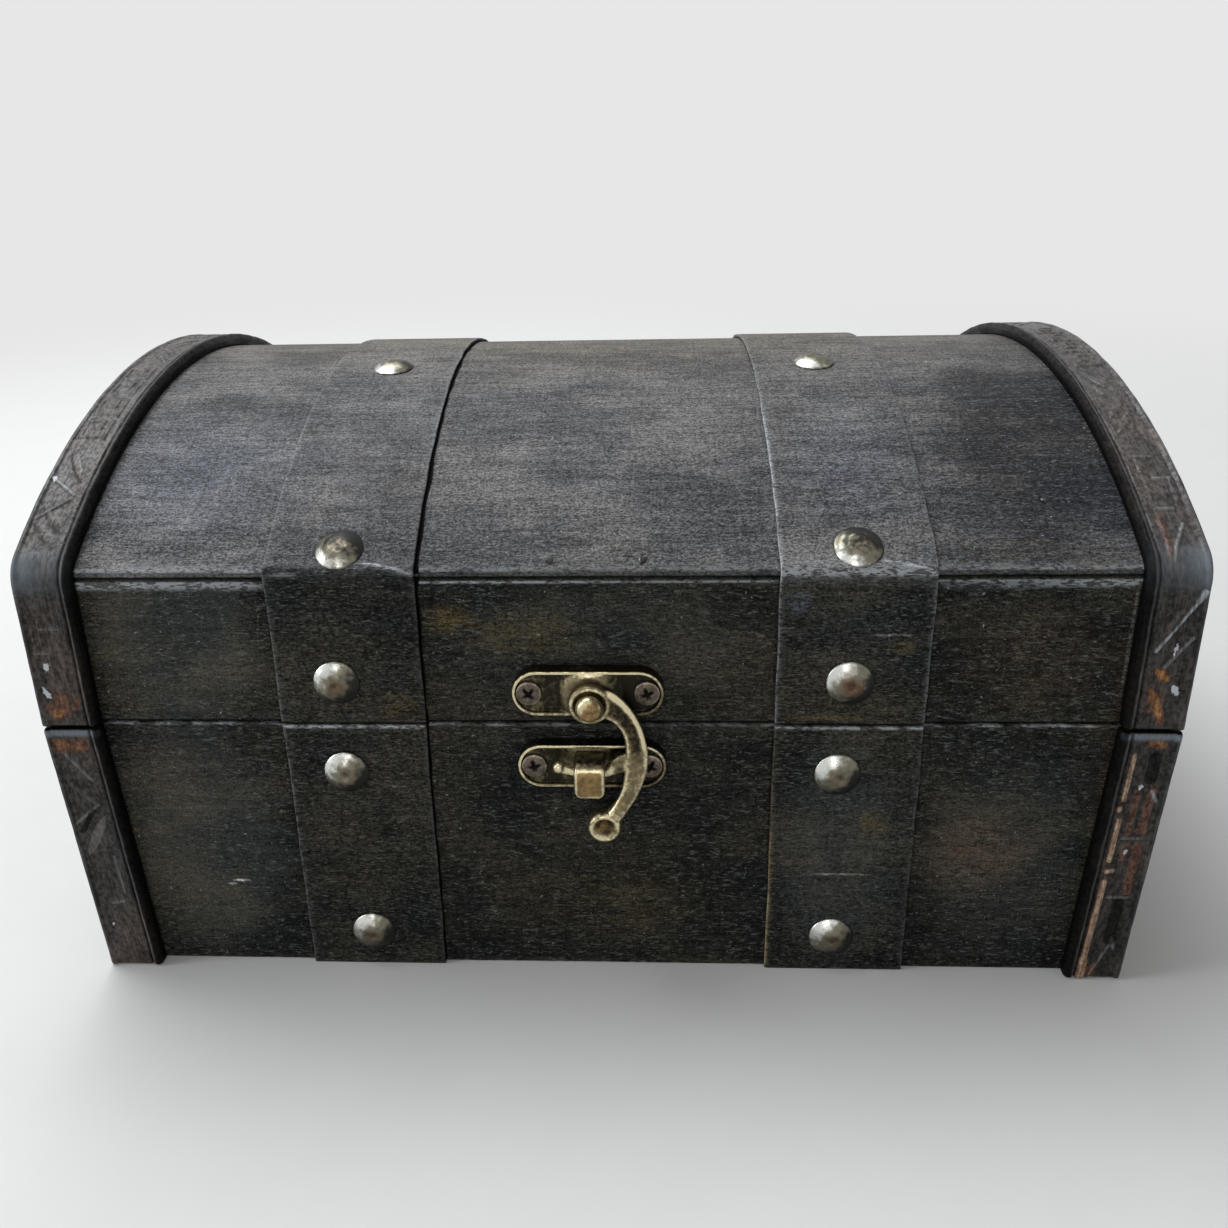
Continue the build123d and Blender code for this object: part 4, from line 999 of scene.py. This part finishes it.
# Keeper post: a rounded bar carried out from the plate's field and turned down
post = dict(x=-1.7, width=5.8, thickness=2.1, top=53.5, reach=6.6, drop=7.0, bend=1.3, rooted=0.4,
            radius=0.7, tipRound=1.6)
corner = post["thickness"] / 2 + post["bend"]
runs = [(post["reach"] - corner + post["rooted"], 0), (post["bend"] * np.pi / 2, np.pi / 2),
        (post["drop"] - corner, 0)]
carry, postLength = runPath((fieldY + post["rooted"], post["top"] - post["thickness"] / 2), np.pi, runs)
shape = slab((post["width"], postLength, post["thickness"]), post["radius"], (0.25, 0.25, 0.3))
p = shape["points"]
along = p[:, 1] + postLength / 2
tip = post["tipRound"]
fromTip = np.clip(tip - postLength + along, 0, tip)
narrowed = 1 - (tip - np.sqrt(tip ** 2 - 0.96 * fromTip ** 2)) / (post["width"] / 2)
y, z = carry(along, -p[:, 2])
shape["points"] = columns(post["x"] + p[:, 0] * narrowed, y, z)
frontness = ramp(fieldY - y - post["reach"], -1.0, -0.4)
inFace = ramp(np.abs(p[:, 0]), 2.5, 2.0) * ramp(post["top"] - z, 1.0, 1.6)
inFace *= ramp(z - post["top"] + post["drop"], 0.4, 1.0)
shape["marks"] = {"shine": 0.16 + 0.25 * ramp(along, 4.5, 6.0) + 0.55 * frontness * (1 - inFace),
                  "stain": frontness * inFace * np.clip(0.75 + 0.35 * wander(p, 1.0, 16), 0, 1)}
makePiece("keeper_post", shape, "latch_bronze", "chest_body", "latch_keeper_post")


# Screw head on a round grid: a dome, less a cross that is deep in the middle and shallow at its ends
def screwShape(radius, height, armLength, armWidth, depth, turnBy, rings=30, around=72):
    reach = radius * np.concatenate((np.linspace(0, 0.93, rings), [0.97, 0.995, 1.0, 0.99]))[:, None]
    dome = height * (1 - 0.42 * (reach / radius) ** 2)
    dome[-4:, 0] = height * np.array([0.50, 0.34, 0.12, -0.06])
    cosine, sine = circle(around)
    x, y = reach * cosine, reach * sine
    a = x * np.cos(turnBy) + y * np.sin(turnBy)
    b = y * np.cos(turnBy) - x * np.sin(turnBy)
    cut = 0 * x
    for long, wide in ((a, b), (b, a)):
        inArm = ramp(np.abs(wide) - armWidth / 2, 0.1, -0.1)
        cut = np.maximum(cut, inArm * np.clip(1.25 - np.abs(long) / armLength * 1.25, 0, 1))
    grid = columns(x, y, dome - depth * cut)
    back = columns(*(0 * x[:1],) * 2, 0 * x[:1] - 0.05)
    shine = 0.45 + 0.35 * bell(reach / radius, 0.93, 0.07) - 0.75 * cut
    none = np.zeros(around)
    return ringShape(np.concatenate((grid, back)), {"shine": np.concatenate((shine.ravel(), none)),
                                                    "stain": np.concatenate((0.8 * cut.ravel(), none))})


screwSpan = latch["length"] / 2 - latch["screwInset"]
for name, body, turns in (("upper", "lid", (0.75, 0.35)), ("lower", "chest_body", (0.25, 1.1))):
    x, z = latch[name]
    heads = [stood(screwShape(2.5, 1.1, 1.6, 0.66, 0.8, turnBy), (x + end * screwSpan, fieldY, z),
                   (0, -1, 0)) for end, turnBy in zip((-1, 1), turns)]
    makePiece("latch_screw_heads_" + name, joined(heads), "screw_steel", body, "latch_screws_" + name)

# Rivet: a tall domed button on a short shank
rivetProfile = ((0, 2.24), (0.8, 2.22), (1.4, 2.10), (2.0, 1.80), (2.38, 1.35), (2.55, 0.9), (2.56, 0.12),
                (2.5, 0.0), (1.45, -0.02), (1.45, -3.4), (0, -3.4))
rivetOut = 5.6
shape = lathe(eased(rivetProfile, 0.14), 64)
p = shape["points"]
# Painted highlight towards the upper left; the tarnish is thinner there
lit = ramp(p[:, :2] @ (-0.75, 0.65), 0.2, 1.8)
mottled = np.clip(0.8 + 0.35 * wander(p, 0.9, 15), 0, 1) * (p[:, 2] > 1.2)
shape["marks"] = {"shine": 0.46 + 0.50 * lit + 0.10 * wander(p, 1.6, 14),
                  "stain": ramp(np.hypot(p[:, 0], p[:, 1]), 2.3, 1.7) * mottled * (1 - 0.5 * lit)}
makePiece("hook_rivet", stood(shape, (pivotX, faceY - rivetOut, pivotZ), (0, -1, 0)), "latch_bronze", "lid",
          "latch_rivet")

# Hook: its parts are closed surfaces about the pivot, in X, Z and outwards, fused by a voxel remesh.
# The arm is given by points on its middle line with its width there
hook = dict(back=3.6, thickness=1.9, ball=(2.41, -26.38), ballLift=-1.25, voxel=0.15, soften=5,
            tip=(-6.15, -13.75), tipRadius=1.15, hollow=0.45, prong=1.6)
armLine = ((0.4, 0.9, 3.0), (1.7, 0.75, 5.2), (3.1, 0.1, 6.0), (4.8, -1.35, 5.0), (6.65, -3.25, 4.1),
           (8.0, -5.6, 3.8), (8.65, -9.5, 4.15), (8.6, -12.6, 4.6), (8.3, -15.1, 4.1), (7.75, -18.0, 3.6),
           (6.8, -20.4, 3.2), (5.5, -22.5, 3.0), (3.9, -24.5, 3.5))
prongLine = ((-5.9, -13.85, 1.9), (-4.6, -14.3, 1.75), (-2.5, -14.75, 1.65), (0.0, -14.98, 1.6),
             (2.3, -14.75, 1.75), (4.0, -14.0, 2.6), (5.8, -12.9, 3.6), (7.4, -12.4, 4.0))


# Middle line of (x, z, width) points: places, width and heading at even stations
def middleLine(line, stations):
    line, share = np.array(line, float), np.linspace(0, 1, len(line))
    even = np.linspace(0, 1, stations)
    x, z = (np.polyval(np.polyfit(share, line[:, k], 7), even) for k in (0, 1))
    width = np.pad(np.interp(even, share, line[:, 2]), 5, mode="edge")
    width = np.convolve(width, np.ones(11) / 11, mode="valid")
    return x, z, width, np.arctan2(np.gradient(z), np.gradient(x))


# Section carried along a flat line of (x, z, width): a rounded rectangle closed at both ends. Its upper
# side is hollowed by a bell across the section up to a share along the line, a low start is thinner, so
# that it stays hidden in the piece it grows from, and a high end climbs
def carried(line, depth, stations, around, square, hollow=0.0, lowStart=0.0, highEnd=0.0):
    x, z, width, heading = (row[:, None] for row in middleLine(line, stations))
    even = np.linspace(0, 1, stations)[:, None]
    cosine, sine = circle(around)
    level, rise = (np.sign(v) * np.abs(v) ** square for v in (cosine, sine))
    aside = width / 2 * level
    above = (1 - lowStart * ramp(even, 0.16, 0)) * depth / 2 * rise
    above += highEnd * ramp(even, 0.84, 1.0) * np.clip(rise, 0, 1)
    above -= hollow * ramp(even, 0.60, 0.48) * bell(level, 0, 0.52, 4) * (sine > 0.2)
    grid = columns(x - aside * np.sin(heading), z + aside * np.cos(heading), above)
    caps = columns(x, z, 0 * x)[[0, -1]] + np.zeros((1, around, 1))
    return ringShape(np.concatenate((caps[:1], grid, caps[1:])))


eyeProfile = ((0, 1.25), (2.3, 1.25), (2.6, 1.36), (2.85, 1.62), (3.15, 1.90), (3.5, 1.94), (3.85, 1.74),
              (4.08, 1.30), (4.12, 0.6), (3.8, 0.0), (0, 0))
ballProfile = ((0, 3.20), (1.1, 3.24), (1.6, 3.46), (1.95, 3.86), (2.25, 4.20), (2.6, 4.32), (2.95, 4.10),
               (3.22, 3.60), (3.35, 2.8), (3.3, 1.7), (2.9, 0.7), (2.0, 0.05), (0, 0))
swing, half = np.linspace(0, np.pi, 17), hook["thickness"] / 2
hookShape = joined([
    {**shape, "points": shape["points"] + place} for shape, place in (
        (lathe(eased(eyeProfile, 0.12), 96), (0, 0, 0)),
        (carried(armLine, hook["thickness"], 100, 44, 0.72, hook["hollow"], 0.7, 1.0), (0, 0, half)),
        (carried(prongLine, hook["prong"], 70, 32, 0.85), (0, 0, half)),
        (lathe(hook["tipRadius"] * columns(np.sin(swing), np.cos(swing)), 32), (*hook["tip"], half)),
        (lathe(eased(ballProfile, 0.12), 72), (*hook["ball"], hook["ballLift"])),
    )
])
x, z, out = hookShape["points"].T
hookShape["points"] = columns(x + pivotX, faceY - hook["back"] - out, z + pivotZ)


# Places or normals of a mesh's vertices
def vertexRows(mesh, field):
    rows = np.empty(len(mesh.vertices) * 3, np.float32)
    mesh.vertices.foreach_get(field, rows)
    return rows.reshape(-1, 3)


# Convexity of each vertex: how far its neighbours lie behind its tangent plane, averaged and evened out
def convexity(mesh, evenings=3):
    place, normal, count = vertexRows(mesh, "co"), vertexRows(mesh, "normal"), len(mesh.vertices)
    pairs = np.empty(len(mesh.edges) * 2, np.int32)
    mesh.edges.foreach_get("vertices", pairs)
    pairs = pairs.reshape(-1, 2)
    here, there = np.concatenate((pairs, pairs[:, ::-1])).T
    gap = place[here] - place[there]
    rise = (normal[here] * gap).sum(axis=1) / np.maximum(np.linalg.norm(gap, axis=1), 1e-9)
    share = np.maximum(np.bincount(here, minlength=count), 1)
    value = np.bincount(here, rise, count) / share
    for _ in range(evenings):
        value = (value + np.bincount(here, value[there], count) / share) / 2
    return value


hookPiece = makePiece("swing_hook", hookShape, "latch_bronze", "hook", "latch_hook")
remesh = hookPiece.modifiers.new("fuse", "REMESH")
remesh.mode, remesh.voxel_size, remesh.use_smooth_shade = "VOXEL", hook["voxel"] * mm, True
soften = hookPiece.modifiers.new("soften", "SMOOTH")
soften.factor, soften.iterations = 0.5, hook["soften"]
bpy.context.view_layer.update()
fused = bpy.data.meshes.new_from_object(hookPiece.evaluated_get(bpy.context.evaluated_depsgraph_get()))
hookPiece.modifiers.clear()
hookPiece.data = fused
fused.materials.clear()
fused.materials.append(finishes["latch_bronze"])
fused.shade_smooth()

# Rims are bright and hollows dark. Across the arm the outer rim is rubbed bright and the hollow is dark:
# the side is -1 at its inner edge and 1 at its outer one
place = vertexRows(fused, "co") / mm
x, z, outFront = place[:, 0] - pivotX, place[:, 2] - pivotZ, place[:, 1] < faceY - hook["back"] - 1.0
fromPivot, fromBall = np.hypot(x, z), np.hypot(x - hook["ball"][0], z - hook["ball"][1])
cup, inEye = ramp(fromBall, 2.0, 1.5) * outFront, ramp(fromPivot, 3.05, 2.65) * outFront
lineX, lineZ, lineWidth, heading = middleLine(armLine, 100)
near = np.hypot(x[:, None] - lineX, z[:, None] - lineZ).argmin(axis=1)
side = (lineX[near] - x) * np.sin(heading[near]) + (z - lineZ[near]) * np.cos(heading[near])
side = side / lineWidth[near] * 2
onArm = ramp(np.abs(side), 1.25, 1.05) * outFront * ramp(near, 8, 16) * ramp(fromPivot, 3.2, 3.7)
upperPart, lowerPart = ramp(near, 60, 42), ramp(near, 50, 65)
rim = bell(side, 0.80, 0.28) * (0.30 + 0.35 * upperPart) + 0.38 * bell(side, -0.85, 0.24)
sunk = bell(side, -0.05, 0.50, 4) * upperPart * 0.22
# The prong is painted brighter, as if lit
onProng = ramp(x, 5.5, 3.5) * ramp(z, -18, -17) * ramp(z, -12, -13)
shine = np.clip(0.34 + 3.6 * convexity(fused), 0, 1)
shine += onArm * (rim - sunk + 0.12 * lowerPart) + 0.42 * onProng + 0.20 * (fromBall < 4)
# The eye's rim is bright, more so towards the top as a painted highlight
eyeRim = bell(fromPivot, 3.5, 0.45) * outFront
shine = np.maximum(shine, (0.62 + 0.25 * ramp(z - 0.4 * x, 0, 3)) * eyeRim)
setMark(fused, "shine", shine * (1 - cup) * (1 - inEye) + 0.14 * cup + 0.22 * inEye)
spots = 0.30 * onArm * np.clip(wander(place, 1.4, 17), 0, 1) * (0.4 + 0.6 * lowerPart)
setMark(fused, "stain", np.maximum(0.16 * cup, 0.25 * inEye) + spots)
print("latch made:", len(fused.polygons), "faces in the hook")

hinge = dict(centre=79.1, length=22.0, leaf=13.0, leafThickness=0.8, axisY=78.2, knuckle=2.3, middle=12.0,
             gap=0.15, pin=1.0, head=0.8, screwSpan=7.0, screwRise=7.65)


# Leaf of a hinge: a rounded plate, and knuckles turned round the axis with softened ends
def leafShape(centre, rise, spans):
    low, high = hinge["knuckle"] - 0.6, hinge["leaf"]
    plate = slab((hinge["length"], hinge["leafThickness"], high - low), 0.28, (0.8, 0.5, 0.8))
    middleZ = chest["seam"] + rise * (low + high) / 2
    plate["points"] += (centre, halfDepth + hinge["leafThickness"] / 2, middleZ)
    edge = plate["marks"]["edge"]
    plate["marks"] = {"shine": 0.25 + 0.65 * edge ** 2, "stain": 0 * edge}
    shapes, r, bore = [plate], hinge["knuckle"], hinge["pin"] + 0.05
    for start, length in spans:
        profile = ((bore, 0), (r - 0.3, 0), (r, 0.3), (r, length - 0.3), (r - 0.3, length), (bore, length),
                   (bore, 0))
        knuckle = lathe(eased(profile, 0.25), 40)
        tall = knuckle["points"][:, 2]
        near = np.exp(-np.minimum(tall, length - tall) / 0.5)
        knuckle["marks"] = {"shine": 0.35 + 0.5 * near, "stain": 0 * near}
        shapes.append(onAxis(knuckle, centre + start))
    return joined(shapes)


def onAxis(shape, x):
    return stood(shape, (x, hinge["axisY"], chest["seam"]), (1, 0, 0), (0, 1, 0))


half, cap = hinge["length"] / 2, hinge["head"]
sideLength = half - hinge["middle"] / 2 - hinge["gap"]
spans = dict(lower=((-half, sideLength), (half - sideLength, sideLength)),
             upper=((-hinge["middle"] / 2, hinge["middle"]),))
headSide = ((0, cap), (0.9, 0.7), (1.45, 0.3), (1.5, 0.02), (hinge["pin"], 0))
pinProfile = [(r, -half - z) for r, z in headSide] + [(r, half + z) for r, z in headSide[::-1]]
screwPlaces = [(end, step) for end in (-1, 1) for step in (-1, 1)]
for name, body, rise in (("lower", "chest_body", -1), ("upper", "lid", 1)):
    for side, end in ends.items():
        makePiece("leaf_" + name + "_" + side, leafShape(end * hinge["centre"], rise, spans[name]),
                  "hinge_brass", body, "hinge_leaf_" + name + "_" + side)
    heads = [stood(screwShape(1.9, 0.7, 1.15, 0.45, 0.45, 0.4 + 1.3 * k, 16, 48),
                   (end * hinge["centre"] + step * hinge["screwSpan"], halfDepth + hinge["leafThickness"],
                    chest["seam"] + rise * hinge["screwRise"]), (0, 1, 0))
             for k, (end, step) in enumerate(screwPlaces)]
    makePiece("hinge_screw_heads_" + name, joined(heads), "screw_steel", body, "hinge_screws_" + name)
for side, end in ends.items():
    pin = lathe(eased(pinProfile, 0.2, 1), 32)
    flat = 0 * pin["points"][:, 0]
    pin["marks"] = {"shine": flat + 0.6, "stain": flat}
    makePiece("pin_" + side, onAxis(pin, end * hinge["centre"]), "hinge_brass", "chest_body",
              "hinge_pin_" + side)
print("hinges made")

# Pale floor that turns into the background far from the chest. The camera and polished metal see the pale
# colour; the light that bounces off the floor comes from the darker one
stageLook = dict(floor=(0.78, 0.78, 0.77), floorSecond=(0.7683, 0.7683, 0.75845), bounce=(0.42, 0.42, 0.41),
                 sky=(0.80, 0.80, 0.80), ambient=0.34, near=0.28, far=0.75, reach=12.0)


# 1 where the camera or a polished surface sees something, and 0 for the light that falls on it
def seenShare(tree):
    path = addNode(tree, "LightPath", {})
    camera, glossy = (Output(path, key) for key in ("Is Camera Ray", "Is Glossy Ray"))
    return camera.combined("Math", "MAXIMUM", {0: camera, 1: glossy})


floorMesh = bpy.data.meshes.new("floor")
reach = stageLook["reach"]
floorMesh.from_pydata([(-reach, -reach, 0), (reach, -reach, 0), (reach, reach, 0), (-reach, reach, 0)], [],
                      [(0, 1, 2, 3)])
floor = bpy.data.objects.new("floor", floorMesh)
bpy.context.scene.collection.objects.link(floor)
finish, tree, place = newFinish("floorPaper")
seen = seenShare(tree)
pale = place.noise((60, 60, 60), 4).ranged(0.3, 0.7).mix(stageLook["floor"], stageLook["floorSecond"])
paper = addNode(tree, "BsdfPrincipled", {"Base Color": seen.mix(stageLook["bounce"], pale), "Roughness": 0.9,
                                         "Specular IOR Level": 0.2})
away = place.combined("VectorMath", "LENGTH", {0: place}, "Value")
backdrop = addNode(tree, "Emission", {"Color": stageLook["sky"], "Strength": 1.0})
blend = addNode(tree, "MixShader", {0: away.ranged(stageLook["near"], stageLook["far"]) * seen,
                                    1: Output(paper), 2: Output(backdrop)})
addNode(tree, "OutputMaterial", {"Surface": Output(blend)})
floorMesh.materials.append(finish)

world = bpy.data.worlds.new("studio")
world.use_nodes = True
bpy.context.scene.world = world
tree = world.node_tree
tree.nodes.clear()
strength = addNode(tree, "MapRange", {"Value": seenShare(tree), "To Min": stageLook["ambient"],
                                      "To Max": 1.0})
sky = addNode(tree, "Background", {"Color": stageLook["sky"], "Strength": Output(strength)})
addNode(tree, "OutputWorld", {"Surface": Output(sky)})

# Soft boxes: place in metres, width, height, power and tint, all turned to the chest
aim = Vector((0, 0, 0.06))
softBoxes = dict(
    topBox=((-0.45, 0.40, 1.30), 1.1, 0.9, 18.5, (0.96, 0.98, 1.0)),
    frontStrip=((-0.20, -1.50, 0.90), 0.22, 1.1, 3.2, (1, 1, 1)),
    leftStrip=((-1.40, -0.38, 0.58), 0.35, 1.0, 6.0, (0.93, 0.97, 1.0)),
)
for name, (place, width, height, power, tint) in softBoxes.items():
    light = bpy.data.lights.new(name, "AREA")
    light.shape, light.size, light.size_y = "RECTANGLE", width, height
    light.energy, light.color = power, tint
    lamp = bpy.data.objects.new(name, light)
    lamp.location = place
    lamp.rotation_euler = (aim - Vector(place)).to_track_quat("-Z", "Y").to_euler()
    bpy.context.scene.collection.objects.link(lamp)
print("lights set")

# Camera matched to the photograph: place in millimetres, angles in degrees, focal length in its pixels
shot = dict(place=(8.255, -265.81, 174.69), azimuth=3.27, down=21.52, roll=-1.556, focal=1152.6,
            middle=(579.67, 522.13), frame=1228, sensor=36.0)
camera = bpy.data.objects.new("camera", bpy.data.cameras.new("camera"))
bpy.context.scene.collection.objects.link(camera)
bpy.context.scene.camera = camera
azimuth, down, roll = (np.radians(shot[key]) for key in ("azimuth", "down", "roll"))
forward = np.array([-np.sin(azimuth) * np.cos(down), np.cos(azimuth) * np.cos(down), -np.sin(down)])
level = np.array([np.cos(azimuth), np.sin(azimuth), 0])
upward = np.cross(level, forward)
right = np.cos(roll) * level + np.sin(roll) * upward
above = np.cos(roll) * upward - np.sin(roll) * level
rows = [(*axis, place * mm) for axis, place in zip(columns(right, above, -forward).tolist(), shot["place"])]
camera.matrix_world = Matrix(rows + [(0, 0, 0, 1)])
camera.data.sensor_width = shot["sensor"]
camera.data.lens = shot["focal"] / shot["frame"] * shot["sensor"]
camera.data.shift_x = 0.5 - shot["middle"][0] / shot["frame"]
camera.data.shift_y = shot["middle"][1] / shot["frame"] - 0.5
camera.data.clip_start = 0.01
bpy.context.scene.view_settings.view_transform = "Standard"
